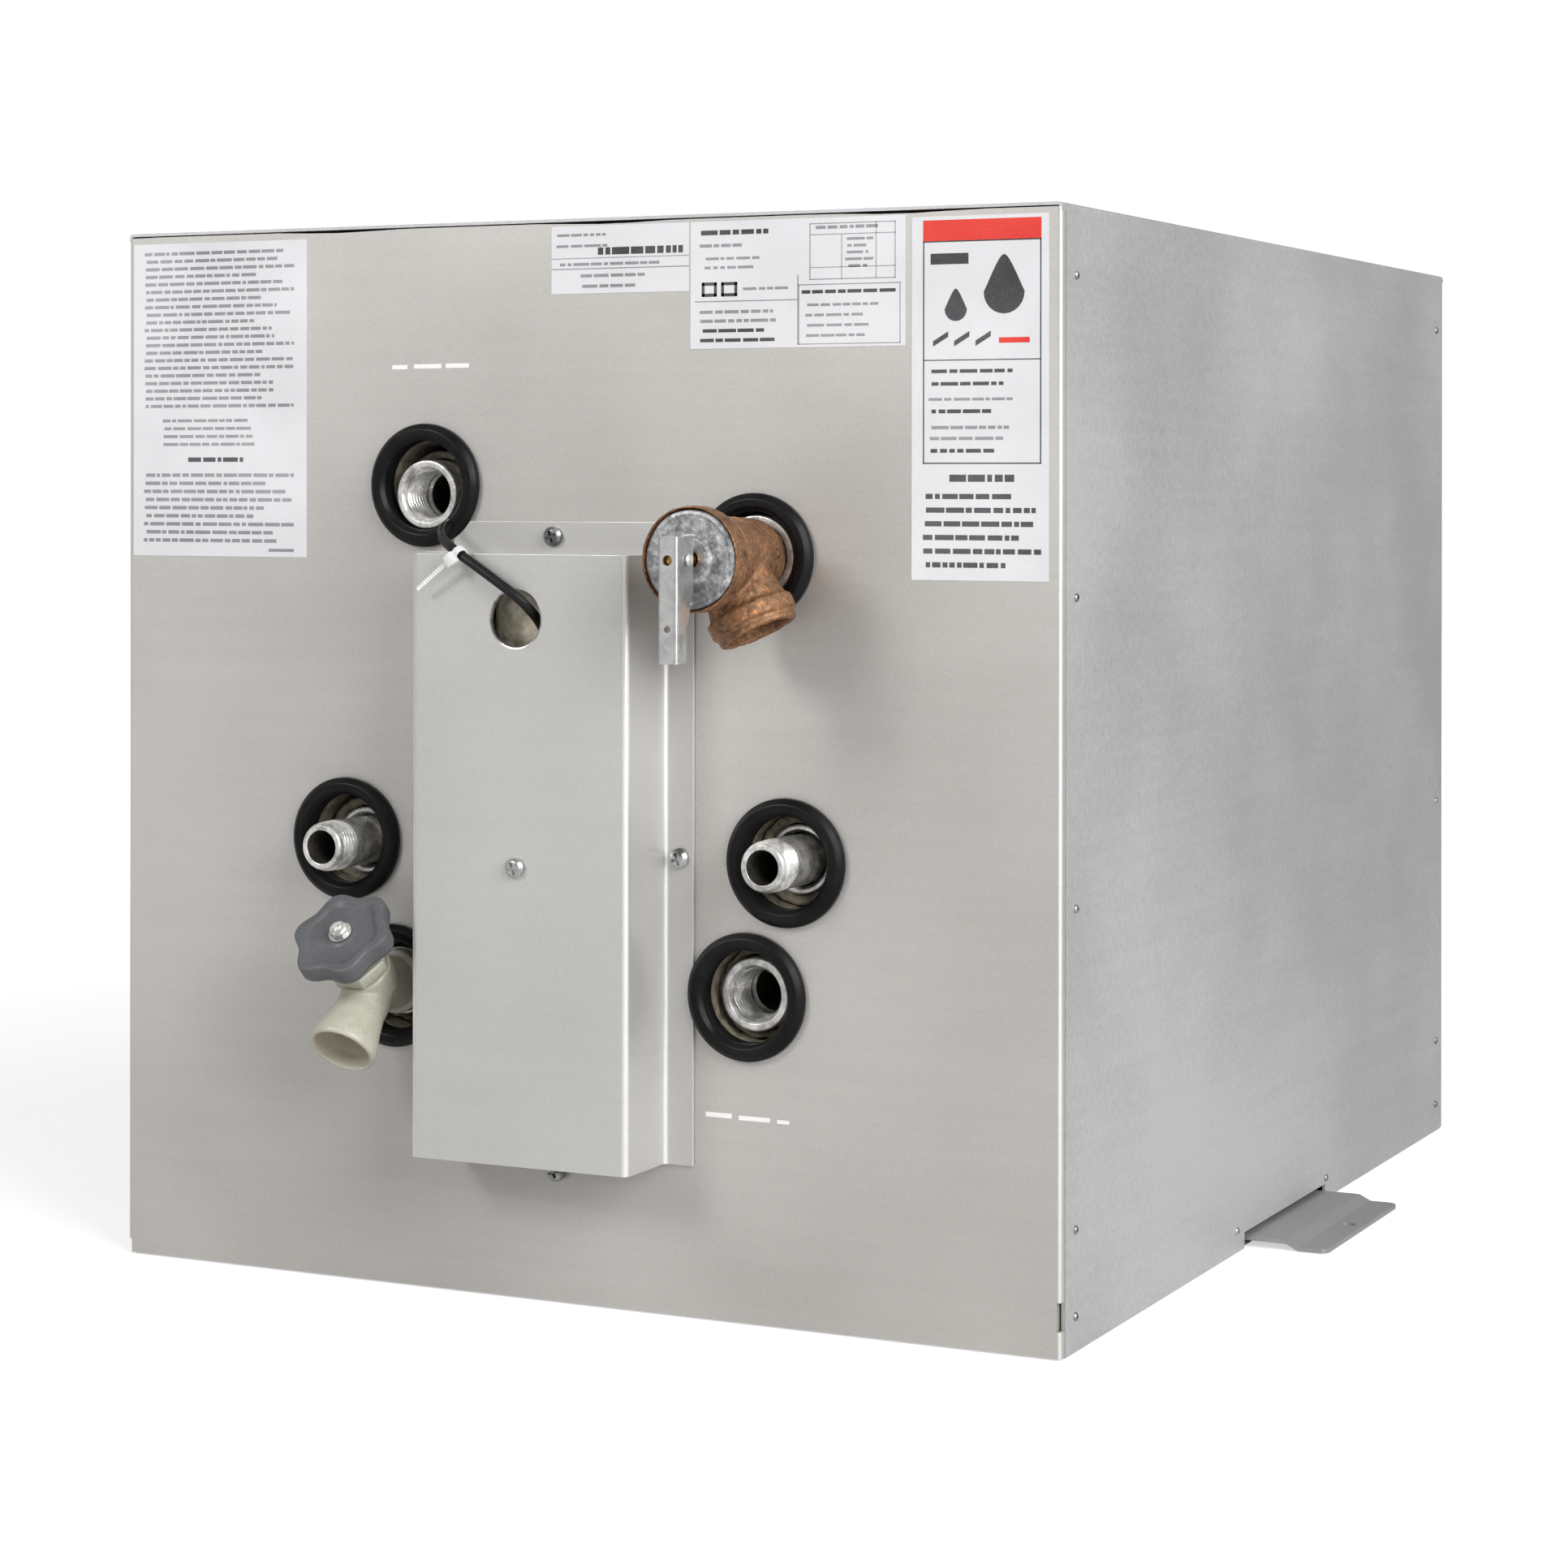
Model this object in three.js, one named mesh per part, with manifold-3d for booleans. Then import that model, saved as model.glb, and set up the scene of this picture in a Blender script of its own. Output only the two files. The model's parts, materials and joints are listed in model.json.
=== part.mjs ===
// Front-mount tank water heater in a square sheet-metal case: every fitting is on the front panel.
// Millimetres, +Z up, +X to the right as seen from the front, +Y from the front panel to the back.
// The origin is the centre of the case's footprint, on the surface that it stands on.
import * as THREE from "three";
import { mergeVertices } from "three/addons/utils/BufferGeometryUtils.js";
import Module from "manifold-3d";

const wasm = await Module();
wasm.setup();

// ---- Driving dimensions ----
const CASE_W = 409;
const CASE_H = 417;
const CASE_D = 514;
const SHEET = 1.2; // thickness of the case and cover sheets
const GAP = 0.3; // clearance between touching pieces
const BEND_R = 2; // outside radius of the case's top bends
const FLANGE = 24; // depth of the front and back panels' turned edges

const TANK_R = 180;
const TANK_WALL = 2.5;
const TANK_Z = 208.5;
const HEAD_RISE = 37; // how far each dished head stands out of the shell
const TANK_Y0 = 33; // the front head's crown, behind the front panel
const TANK_Y1 = 481; // the back head's crown

const PORT_HOLE_R = 22;
const GROMMET_R = 24;
const GROMMET_BORE_R = 17.5;
const GROMMET_PROUD = 4.5;
const WELD_DEPTH = 47; // how far behind the panel the weld couplings end, inside the tank

// Port centres on the front panel, X and Z. The pipes stand a little off their grommets' centres.
const HOT = { x: -62, z: 310.8, grommet: [-62.1, 314.4] };
const COLD = { x: 78.7, z: 122.8, grommet: [78.7, 122.8] };
const RELIEF = { x: 82, z: 287.8, grommet: [81.8, 287.6] };
const DRAIN = { x: -76, z: 119, grommet: [-76, 117.6] };
const COOL_L = { x: -97, z: 172.8, grommet: [-98.3, 174.4] };
const COOL_R = { x: 95, z: 174, grommet: [94.9, 173.8] };
const ELEMENT = { x: -2.6, z: 100 };
const PORTS = [HOT, COLD, RELIEF, DRAIN, COOL_L, COOL_R];

const COVER_X0 = -49.6;
const COVER_X1 = 44.4;
const COVER_Z0 = 57.5;
const COVER_Z1 = 288.5;
const COVER_DEPTH = 32;
const COVER_FLANGE = 12;
const COVER_MID_X = (COVER_X0 + COVER_X1) / 2;
const WIRE_HOLE = { x: -3.4, z: 264, r: 11.3 };
const COVER_SCREWS = {
  top: [-4, 294.8],
  bottom: [-2.4, 50.8],
  left: [-56, 173.5],
  right: [50.8, 173.5],
};
const CENTRE_SCREW = [-3.1, 170.4];
const SCREW_HEAD_R = 4.2;
const SCREW_SHANK_R = 1.8;
const SCREW_HOLE_R = 2.3;
const SCREW_LENGTH = 8;

const CUTOUT = { x0: COVER_MID_X - 34, x1: COVER_MID_X + 34, z0: 68, z1: 282 };
const POCKET = { x0: COVER_MID_X - 37, x1: COVER_MID_X + 37, z0: 70, z1: 250 };

const EAR_Y0 = 212; // measured back from the front panel
const EAR_Y1 = 316;
const EAR_END = 238.5;
const EAR_T = 1.8;
const EAR_HOLE_R = 3.4;
const EAR_HOLE_X = 231.6;

const RELIEF_PIN_OUT = 64; // the lever's pin, in front of the panel
const DRAIN_MID_OUT = 17; // the drain valve's centre, in front of the panel

// ---- Materials ----
const finish = (color, roughness, metalness) =>
  new THREE.MeshStandardMaterial({ color, roughness, metalness });
const FRONT_SHEET = () => finish(0xc4c2be, 0.42, 0.75);
const WRAP_SHEET = () => finish(0xb5b5b6, 0.5, 0.7);
const COVER_SHEET = () => finish(0xc6c5c2, 0.38, 0.75);
const ZINC = () => finish(0xa5a5a6, 0.4, 0.85);
const STEEL = () => finish(0xc8c6c2, 0.28, 0.95);
const TANK_STEEL = () => finish(0x8d8f92, 0.5, 0.8);
const COPPER = () => finish(0xb06a45, 0.35, 0.9);
const BRONZE = () => finish(0x7d5b44, 0.55, 0.6);
const BRASS = () => finish(0xb08d57, 0.35, 0.9);
const RUBBER = () => finish(0x121212, 0.45, 0);
const FIBRE = () => finish(0x8f8468, 0.95, 0);
const BLACK_PLASTIC = () => finish(0x1a1a1b, 0.5, 0);
const GREY_PLASTIC = () => finish(0x616161, 0.45, 0);
const CREAM_PLASTIC = () => finish(0xb9b5a6, 0.4, 0);
const WHITE_NYLON = () => finish(0xe8e8e4, 0.4, 0);
const RED_PLASTIC = () => finish(0xa02018, 0.4, 0);

// ---- Solids ----
function solid(geometry) {
  geometry.deleteAttribute("normal");
  geometry.deleteAttribute("uv");
  const merged = mergeVertices(geometry);
  const triVerts = new Uint32Array(merged.index.array);
  const vertProperties = merged.attributes.position.array;
  const made = new wasm.Manifold(new wasm.Mesh({ numProp: 3, vertProperties, triVerts }));
  if (made.volume() >= 0) return made;
  // An extrusion along a path can come out facing inwards, so its faces are turned round.
  for (let i = 0; i < triVerts.length; i += 3) {
    [triVerts[i + 1], triVerts[i + 2]] = [triVerts[i + 2], triVerts[i + 1]];
  }
  return new wasm.Manifold(new wasm.Mesh({ numProp: 3, vertProperties, triVerts }));
}

const joined = (solids) => solids.reduce((sum, next) => sum.add(next));
const cut = (body, tools) => tools.reduce((rest, tool) => rest.subtract(tool), body);

// A box between two corners.
function block(x0, y0, z0, x1, y1, z1) {
  const box = new THREE.BoxGeometry(x1 - x0, y1 - y0, z1 - z0);
  box.translate((x0 + x1) / 2, (y0 + y1) / 2, (z0 + z1) / 2);
  return solid(box);
}

// A profile of [radius, distance] points turned about the line that leaves `from` along `axis`.
function turned(profile, from, axis, sides) {
  const points = profile.map(([r, s]) => new THREE.Vector2(r, s));
  const geometry = new THREE.LatheGeometry(points, sides);
  const turn = new THREE.Quaternion();
  turn.setFromUnitVectors(new THREE.Vector3(0, 1, 0), new THREE.Vector3(...axis));
  geometry.applyQuaternion(turn);
  geometry.translate(...from);
  return solid(geometry);
}

const INTO = [0, 1, 0]; // from the front panel into the case
const OUT = [0, -1, 0];
const ACROSS = [1, 0, 0];
const UP = [0, 0, 1];

function rod(r, s0, s1, from, axis, sides) {
  return turned([[0, s0], [r, s0], [r, s1], [0, s1]], from, axis, sides);
}

function tube(outer, inner, s0, s1, from, axis, sides) {
  const wall = [[inner, s0], [outer, s0], [outer, s1], [inner, s1], [inner, s0]];
  return turned(wall, from, axis, sides);
}

// A hexagonal bar, `across` wide over its flats.
function hexagon(across, s0, s1, from, axis) {
  return rod(across / Math.sqrt(3), s0, s1, from, axis, 6);
}

function circle(r, sides) {
  const points = [];
  for (let i = 0; i < sides; i++) {
    const angle = (i * 2 * Math.PI) / sides;
    points.push(new THREE.Vector2(r * Math.cos(angle), r * Math.sin(angle)));
  }
  return new THREE.Shape(points);
}

function bentRod(points, r, sides, steps) {
  const path = new THREE.CatmullRomCurve3(points.map((p) => new THREE.Vector3(...p)));
  const options = { steps, bevelEnabled: false, extrudePath: path };
  return solid(new THREE.ExtrudeGeometry(circle(r, sides), options));
}

const outlineOf = (points) => new THREE.Shape(points.map((p) => new THREE.Vector2(...p)));

// An outline in X and Z pushed from y0 to y1.
function plateXZ(shape, y0, y1) {
  const options = { depth: y1 - y0, bevelEnabled: false, curveSegments: 4 };
  const geometry = new THREE.ExtrudeGeometry(shape, options);
  geometry.rotateX(Math.PI / 2);
  geometry.translate(0, y1, 0);
  return solid(geometry);
}

function part(name, body, material) {
  const { vertProperties, triVerts } = body.getMesh();
  const geometry = new THREE.BufferGeometry();
  geometry.setAttribute("position", new THREE.BufferAttribute(vertProperties, 3));
  geometry.setIndex(new THREE.BufferAttribute(triVerts, 1));
  geometry.computeVertexNormals();
  const mesh = new THREE.Mesh(geometry, material);
  mesh.name = name;
  return mesh;
}

// ---- Case: a front and a back tray, a base pan with ears, and a wrap over them ----
const INNER_X = CASE_W / 2 - SHEET - GAP;
const TRAY_TOP = CASE_H - SHEET - GAP;
const FLOOR_T = 1.6; // base pan
const TRAY_FLOOR = FLOOR_T + GAP;

function jacketWrap() {
  const half = CASE_W / 2;
  const inner = half - SHEET;
  const outline = new THREE.Shape();
  outline.moveTo(half, 0);
  outline.lineTo(half, CASE_H - BEND_R);
  outline.absarc(half - BEND_R, CASE_H - BEND_R, BEND_R, 0, Math.PI / 2, false);
  outline.lineTo(-half + BEND_R, CASE_H);
  outline.absarc(-half + BEND_R, CASE_H - BEND_R, BEND_R, Math.PI / 2, Math.PI, false);
  outline.lineTo(-half, 0);
  outline.lineTo(-inner, 0);
  outline.lineTo(-inner, CASE_H - SHEET);
  outline.lineTo(inner, CASE_H - SHEET);
  outline.lineTo(inner, 0);
  const wrap = plateXZ(outline, 0, CASE_D);
  const notchTop = 6.5;
  const side = 4;
  const notches = [-1, 1].map((s) => {
    const x = s * half;
    return block(x - 5, EAR_Y0 - side, -1, x + 5, EAR_Y1 + side, notchTop);
  });
  return part("jacket_wrap", cut(wrap, notches), WRAP_SHEET());
}

// A shallow tray whose face lies at y = 0 and whose edges turn towards +Y.
function tray() {
  const face = block(-INNER_X, 0, GAP, INNER_X, SHEET, TRAY_TOP);
  const rightEdge = block(INNER_X - SHEET, 0, TRAY_FLOOR, INNER_X, FLANGE, TRAY_TOP);
  const leftEdge = block(-INNER_X, 0, TRAY_FLOOR, -INNER_X + SHEET, FLANGE, TRAY_TOP);
  const topEdge = block(-INNER_X, 0, TRAY_TOP - SHEET, INNER_X, FLANGE, TRAY_TOP);
  const bottomEdge = block(-INNER_X, 0, TRAY_FLOOR, INNER_X, FLANGE, TRAY_FLOOR + SHEET);
  return joined([face, rightEdge, leftEdge, topEdge, bottomEdge]);
}

function screwHoles(y0, y1) {
  return Object.values(COVER_SCREWS).map(([x, z]) => rod(SCREW_HOLE_R, y0, y1, [x, 0, z], INTO, 12));
}

function frontPanel() {
  const holes = PORTS.map(({ grommet: [x, z] }) => rod(PORT_HOLE_R, -5, 5, [x, 0, z], INTO, 20));
  const window = block(CUTOUT.x0, -5, CUTOUT.z0, CUTOUT.x1, 5, CUTOUT.z1);
  const body = cut(tray(), [...holes, window, ...screwHoles(-5, 5)]);
  return part("front_panel", body, FRONT_SHEET());
}

function backPanel() {
  const mesh = part("back_panel", tray(), FRONT_SHEET());
  mesh.rotation.z = Math.PI;
  mesh.position.y = CASE_D;
  return mesh;
}

// One mounting ear: it leaves the pan, steps up through the wrap's notch and down to the floor.
function ear(side) {
  const outline = [
    [188, 0], [193, 0], [197, 2.5], [221, 2.5], [226, 0], [EAR_END, 0],
    [EAR_END, EAR_T], [226.8, EAR_T], [221.8, 2.5 + EAR_T], [196.2, 2.5 + EAR_T],
    [192.4, FLOOR_T], [188, FLOOR_T],
  ];
  const plate = plateXZ(outlineOf(outline.map(([x, z]) => [side * x, z])), EAR_Y0, EAR_Y1);
  const middle = (EAR_Y0 + EAR_Y1) / 2;
  return plate.subtract(rod(EAR_HOLE_R, -5, 5, [side * EAR_HOLE_X, middle, 0], UP, 14));
}

function basePan() {
  const margin = SHEET + GAP;
  const relief = 4; // slot beside each ear
  const lip = 18;
  const pieces = [block(-INNER_X, margin, 0, INNER_X, CASE_D - margin, FLOOR_T)];
  for (const side of [-1, 1]) {
    const x0 = side > 0 ? INNER_X - SHEET : -INNER_X;
    const y0 = FLANGE + 3;
    const y1 = CASE_D - FLANGE - 3;
    pieces.push(block(x0, y0, 0, x0 + SHEET, y1, lip));
  }
  const openings = [-1, 1].map((side) => {
    const edge = side * (INNER_X - 5);
    return block(edge - 6, EAR_Y0 - relief, -1, edge + 6, EAR_Y1 + relief, lip + 1);
  });
  const body = joined([cut(joined(pieces), openings), ear(-1), ear(1)]);
  return part("base_pan", body, WRAP_SHEET());
}

// ---- Insulation: two blocks that close round the tank ----
function insulation(name, z0, z1) {
  const side = INNER_X - SHEET - 0.4;
  const front = SHEET + GAP;
  const block0 = block(-side, front, z0, side, CASE_D - front, z1);
  const tankRoom = tankSolid(TANK_R + 1, TANK_Y0 - 1, TANK_Y1 + 1, HEAD_RISE);
  const lipRoom = 5.2;
  const channels = PORTS.flatMap(({ grommet: [x, z] }) => [
    rod(GROMMET_R + 4 * GAP, 0, lipRoom, [x, 0, z], INTO, 12),
    rod(GROMMET_BORE_R + 2 * GAP, 0, WELD_DEPTH + 20, [x, 0, z], INTO, 12),
  ]);
  const pocket = block(POCKET.x0, 0, POCKET.z0, POCKET.x1, WELD_DEPTH, POCKET.z1);
  const leadRoom = bentRod(LEAD_ROUTE.slice(0, 4), LEAD_R + 1, 8, 6);
  const tools = [tankRoom, ...channels, pocket, ...screwHoles(0, SCREW_LENGTH + 2), leadRoom];
  return part(name, cut(block0, tools), FIBRE());
}

// ---- Tank ----
// Points of a dished end's outline, from the axis to the shell, as [radius, y].
function headOutline(r, crown, shell, steps) {
  const points = [];
  for (let i = 0; i <= steps; i++) {
    const angle = (i * Math.PI) / 2 / steps;
    points.push([r * Math.sin(angle), shell + (crown - shell) * Math.cos(angle)]);
  }
  return points;
}

function tankSolid(r, y0, y1, rise) {
  const steps = 4;
  const front = headOutline(r, y0, y0 + rise, steps);
  const back = headOutline(r, y1, y1 - rise, steps).reverse();
  return turned([...front, ...back], [0, 0, TANK_Z], INTO, 28);
}

function tankShell() {
  const outside = tankSolid(TANK_R, TANK_Y0, TANK_Y1, HEAD_RISE);
  const inside = tankSolid(TANK_R - TANK_WALL, TANK_Y0 + TANK_WALL, TANK_Y1 - TANK_WALL, HEAD_RISE);
  const openings = [HOT, COLD, DRAIN].map(({ x, z }) => rod(14 + 2 * GAP, 0, 60, [x, 0, z], INTO, 16));
  openings.push(rod(15.7 + 2 * GAP, 0, 60, [RELIEF.x, 0, RELIEF.z], INTO, 16));
  openings.push(...[COOL_L, COOL_R].map(({ x, z }) => rod(12.8 + 2 * GAP, 0, 60, [x, 0, z], INTO, 16)));
  openings.push(rod(21 + 3 * GAP, 0, 60, [ELEMENT.x, 0, ELEMENT.z], INTO, 16));
  return part("tank_shell", cut(outside, [inside, ...openings]), TANK_STEEL());
}

// A weld coupling from `face` in front of the panel to the tank, with a wider threaded mouth.
function coupling(name, { x, z }, face, outer, mouth, bore, threadDepth) {
  const chamfer = 0.6;
  const profile = [
    [bore, -WELD_DEPTH], [outer, -WELD_DEPTH], [outer, face - chamfer], [outer - chamfer, face],
    [mouth + chamfer, face], [mouth, face - chamfer], [mouth - 1, face - threadDepth],
    [bore, face - threadDepth - 1], [bore, -WELD_DEPTH],
  ];
  return part(name, turned(profile, [x, 0, z], OUT, 18), STEEL());
}

function couplings() {
  return [
    coupling("hot_outlet_coupling", HOT, 0.5, 13.5, 10.4, 8.4, 17),
    coupling("cold_inlet_coupling", COLD, -6, 14, 10.4, 8.4, 17),
    coupling("relief_coupling", RELIEF, 0.5, 15.7, 12.2, 11.2, 22),
    coupling("drain_coupling", DRAIN, -4, 13.5, 10.4, 9.6, 22),
    coupling("coolant_coupling_left", COOL_L, -11, 12.8, 11.2, 7.4, 24),
    coupling("coolant_coupling_right", COOL_R, -11, 12.8, 11.2, 7.4, 24),
  ];
}

function elementCoupling() {
  const ring = tube(21, 16.8, 25, WELD_DEPTH, [ELEMENT.x, 0, ELEMENT.z], INTO, 20);
  return part("element_coupling", ring, STEEL());
}

// Copper pipes inside the tank: the hot one rises to the crown, the cold one drops to the bottom.
function bentPipe(name, points) {
  const sides = 8;
  const steps = 8;
  const wall = 1.2;
  const r = 8;
  const start = new THREE.Vector3(...points[0]).add(new THREE.Vector3(0, -1, 0)).toArray();
  const end = new THREE.Vector3(...points.at(-1));
  const last = end.clone().sub(new THREE.Vector3(...points.at(-2))).normalize();
  const hollow = [start, ...points, end.add(last).toArray()];
  const body = bentRod(points, r, sides, steps).subtract(bentRod(hollow, r - wall, sides, steps + 2));
  return part(name, body, COPPER());
}

function tankPipes() {
  const start = WELD_DEPTH + GAP;
  const hot = [
    [HOT.x, start, HOT.z], [HOT.x, start + 16, HOT.z], [HOT.x, start + 34, HOT.z + 8],
    [HOT.x, start + 42, HOT.z + 26], [HOT.x, start + 42, HOT.z + 44],
  ];
  const cold = [
    [COLD.x, start, COLD.z], [COLD.x, start + 16, COLD.z], [COLD.x - 3, start + 34, COLD.z - 8],
    [COLD.x - 8, start + 42, COLD.z - 24], [COLD.x - 12, start + 42, COLD.z - 38],
  ];
  return [bentPipe("hot_pickup_pipe", hot), bentPipe("cold_diffuser_pipe", cold)];
}

// Engine-coolant heat exchanger: one hairpin pipe between the two coolant couplings.
function heatExchanger() {
  const start = WELD_DEPTH + GAP;
  const far = 410;
  const points = [
    [COOL_L.x, start, COOL_L.z], [COOL_L.x, 120, COOL_L.z], [COOL_L.x, 240, COOL_L.z],
    [COOL_L.x, 340, COOL_L.z], [-68, far - 8, 173.4], [0, far, 173.4], [66, far - 8, 173.4],
    [COOL_R.x, 340, COOL_R.z], [COOL_R.x, 240, COOL_R.z], [COOL_R.x, 120, COOL_R.z],
    [COOL_R.x, start, COOL_R.z],
  ];
  const past = [[COOL_L.x, start - 1, COOL_L.z], ...points, [COOL_R.x, start - 1, COOL_R.z]];
  const body = bentRod(points, 9.5, 8, 18).subtract(bentRod(past, 8, 8, 20));
  return part("heat_exchanger_pipe", body, COPPER());
}

function nipple(name, { x, z }) {
  const out = 21.5;
  const back = -34;
  const chamfer = 1;
  const profile = [
    [6, back], [9.75, back], [9.75, out - chamfer], [9.75 - chamfer, out], [6.5, out], [6, out - 0.5],
    [6, back],
  ];
  return part(name, turned(profile, [x, 0, z], OUT, 18), STEEL());
}

// ---- Rubber grommets: a rounded lip outside, a waist in the panel's hole, a lip inside ----
function grommet(name, [x, z], notches = []) {
  const waist = PORT_HOLE_R - 3 * GAP;
  const back = -(SHEET + GAP);
  const profile = [
    [GROMMET_BORE_R, back - 3], [GROMMET_R, back - 3], [GROMMET_R, back], [waist, back], [waist, GAP],
    [GROMMET_R, GAP], [GROMMET_R, 2.4], [GROMMET_R - 2.2, GROMMET_PROUD],
    [GROMMET_BORE_R + 1.4, GROMMET_PROUD], [GROMMET_BORE_R, 3.2], [GROMMET_BORE_R, back - 3],
  ];
  const ring = turned(profile, [x, 0, z], OUT, 20);
  return part(name, cut(ring, notches), RUBBER());
}

function grommets() {
  const leadRoom = bentRod(LEAD_ROUTE.slice(0, 4), LEAD_R + GAP, 8, 8);
  return [
    grommet("grommet_hot", HOT.grommet, [leadRoom]),
    grommet("grommet_cold", COLD.grommet),
    grommet("grommet_relief", RELIEF.grommet),
    grommet("grommet_drain", DRAIN.grommet),
    grommet("grommet_coolant_left", COOL_L.grommet),
    grommet("grommet_coolant_right", COOL_R.grommet),
  ];
}

// ---- Terminal cover ----
function terminalCover() {
  const d = COVER_DEPTH;
  const back = -GAP; // the flanges' back face, just clear of the panel
  const rim = back - SHEET;
  const { x0, x1, z0, z1 } = { x0: COVER_X0, x1: COVER_X1, z0: COVER_Z0, z1: COVER_Z1 };
  const shell = block(x0, -d, z0, x1, back, z1);
  const room = block(x0 + SHEET, -d + SHEET, z0 + SHEET, x1 - SHEET, 5, z1 - SHEET);
  const flanges = [
    block(x0, rim, z1 - SHEET, x1, back, z1 + COVER_FLANGE),
    block(x0, rim, z0 - COVER_FLANGE, x1, back, z0 + SHEET),
    block(x0 - COVER_FLANGE, rim, z0, x0 + SHEET, back, z1),
    block(x1 - SHEET, rim, z0, x1 + COVER_FLANGE, back, z1),
  ];
  const clear = GROMMET_R + 0.6;
  const scallops = [HOT, COLD, DRAIN].map(({ grommet: [x, z] }) => rod(clear, -10, 5, [x, 0, z], INTO, 24));
  const tools = [...scallops, ...screwHoles(-10, 5)];
  tools.push(rod(WIRE_HOLE.r, -40, -20, [WIRE_HOLE.x, 0, WIRE_HOLE.z], INTO, 24));
  tools.push(rod(SCREW_HOLE_R, -40, -20, [CENTRE_SCREW[0], 0, CENTRE_SCREW[1]], INTO, 12));
  const body = cut(joined([shell.subtract(room), ...flanges.map((f) => f.subtract(room))]), tools);
  return part("terminal_cover", body, COVER_SHEET());
}

function coverScrew(name, [x, z], seat) {
  const r = SCREW_HEAD_R;
  const profile = [
    [0, seat - SCREW_LENGTH - 2], [SCREW_SHANK_R, seat - SCREW_LENGTH - 0.5], [SCREW_SHANK_R, seat],
    [r, seat], [r, seat + 1], [r - 1.4, seat + 2.5], [0, seat + 2.8],
  ];
  return part(name, turned(profile, [x, 0, z], OUT, 12), ZINC());
}

function coverScrews() {
  const seat = GAP + SHEET + GAP;
  const places = Object.entries(COVER_SCREWS);
  const screws = places.map(([where, at]) => coverScrew(`cover_screw_${where}`, at, seat));
  screws.push(coverScrew("cover_screw_centre", CENTRE_SCREW, COVER_DEPTH + GAP));
  return screws;
}

// ---- Electrical parts behind the cover ----
const BRACKET_Y = 31.1;

function coverStandoff() {
  const [x, z] = CENTRE_SCREW;
  const front = -(COVER_DEPTH - SHEET - GAP);
  const post = hexagon(8, front, BRACKET_Y - GAP, [x, 0, z], INTO);
  const threadedHole = rod(SCREW_HOLE_R, front - 1, front + 14, [x, 0, z], INTO, 12);
  return part("cover_standoff", post.subtract(threadedHole), ZINC());
}

function thermostatBracket() {
  const plate = block(COVER_MID_X - 30, BRACKET_Y, 150, COVER_MID_X + 30, BRACKET_Y + 1.2, 247);
  const window = block(COVER_MID_X - 16, 0, 200, COVER_MID_X + 16, 40, 230);
  return part("thermostat_bracket", plate.subtract(window), ZINC());
}

const STAT = { x0: COVER_MID_X - 21, x1: COVER_MID_X + 21, y0: 17, z0: 190, z1: 238 };
const DIAL = { x: COVER_MID_X - 8, z: 202 };
const RESET = { x: COVER_MID_X + 10, z: 226 };

function thermostatBody() {
  const { x0, x1, y0, z0, z1 } = STAT;
  const body = block(x0, y0, z0, x1, BRACKET_Y - GAP, z1);
  const dialPocket = rod(3.3, y0 - 1, y0 + 8, [DIAL.x, 0, DIAL.z], INTO, 16);
  const buttonPocket = rod(3.8, y0 - 1, y0 + 9, [RESET.x, 0, RESET.z], INTO, 16);
  return part("thermostat_body", cut(body, [dialPocket, buttonPocket]), BLACK_PLASTIC());
}

function thermostatDial() {
  const back = STAT.y0 - GAP;
  const at = [DIAL.x, 0, DIAL.z];
  const body = joined([rod(8, back - 3, back, at, INTO, 24), rod(3, back - 1, back + 7, at, INTO, 16)]);
  const slot = block(DIAL.x - 0.7, 0, DIAL.z - 6, DIAL.x + 0.7, back - 1.8, DIAL.z + 6);
  return part("thermostat_dial", body.subtract(slot), WHITE_NYLON());
}

function resetButton() {
  const button = rod(3.5, STAT.y0 - 3.5, STAT.y0 + 6, [RESET.x, 0, RESET.z], INTO, 20);
  return part("reset_button", button, RED_PLASTIC());
}

// Screw-in immersion heater: hexagon flange, threaded shank and a folded sheath inside the tank.
function heatingElement() {
  const { x, z } = ELEMENT;
  const at = [x, 0, z];
  const leg = 9;
  const hairpin = [
    [x - leg, 50, z], [x - leg, 150, z], [x - leg, 290, z], [x - 6.4, 312, z], [x, 320, z],
    [x + 6.4, 312, z], [x + leg, 290, z], [x + leg, 150, z], [x + leg, 50, z],
  ];
  const terminals = [-leg, leg].map((dx) => rod(1.8, 8, 16, [x + dx, 0, z], INTO, 12));
  const pieces = [hexagon(38, 14, 22, at, INTO), rod(16.2, 20, 52, at, INTO, 20), bentRod(hairpin, 4, 8, 14)];
  return part("heating_element", joined([...pieces, ...terminals]), STEEL());
}

function elementGasket() {
  return part("element_gasket", tube(20, 16.8, 22.3, 24.7, [ELEMENT.x, 0, ELEMENT.z], INTO, 20), RUBBER());
}

function terminalScrew(name, x) {
  return part(name, tube(3.6, 2.1, 9, 13, [x, 0, ELEMENT.z], INTO, 16), BRASS());
}

function elementWire(name, x, material) {
  const route = [
    [x, 22, STAT.z0 - GAP], [x, 22, 180], [x * 1.6 + 1, 16, 160], [x * 1.8 + 1, 10, 138],
    [x * 1.3, 6, 118], [x + 0.3, 5.2, 107.5],
  ];
  return part(name, bentRod(route, 1.6, 6, 12), material);
}

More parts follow.
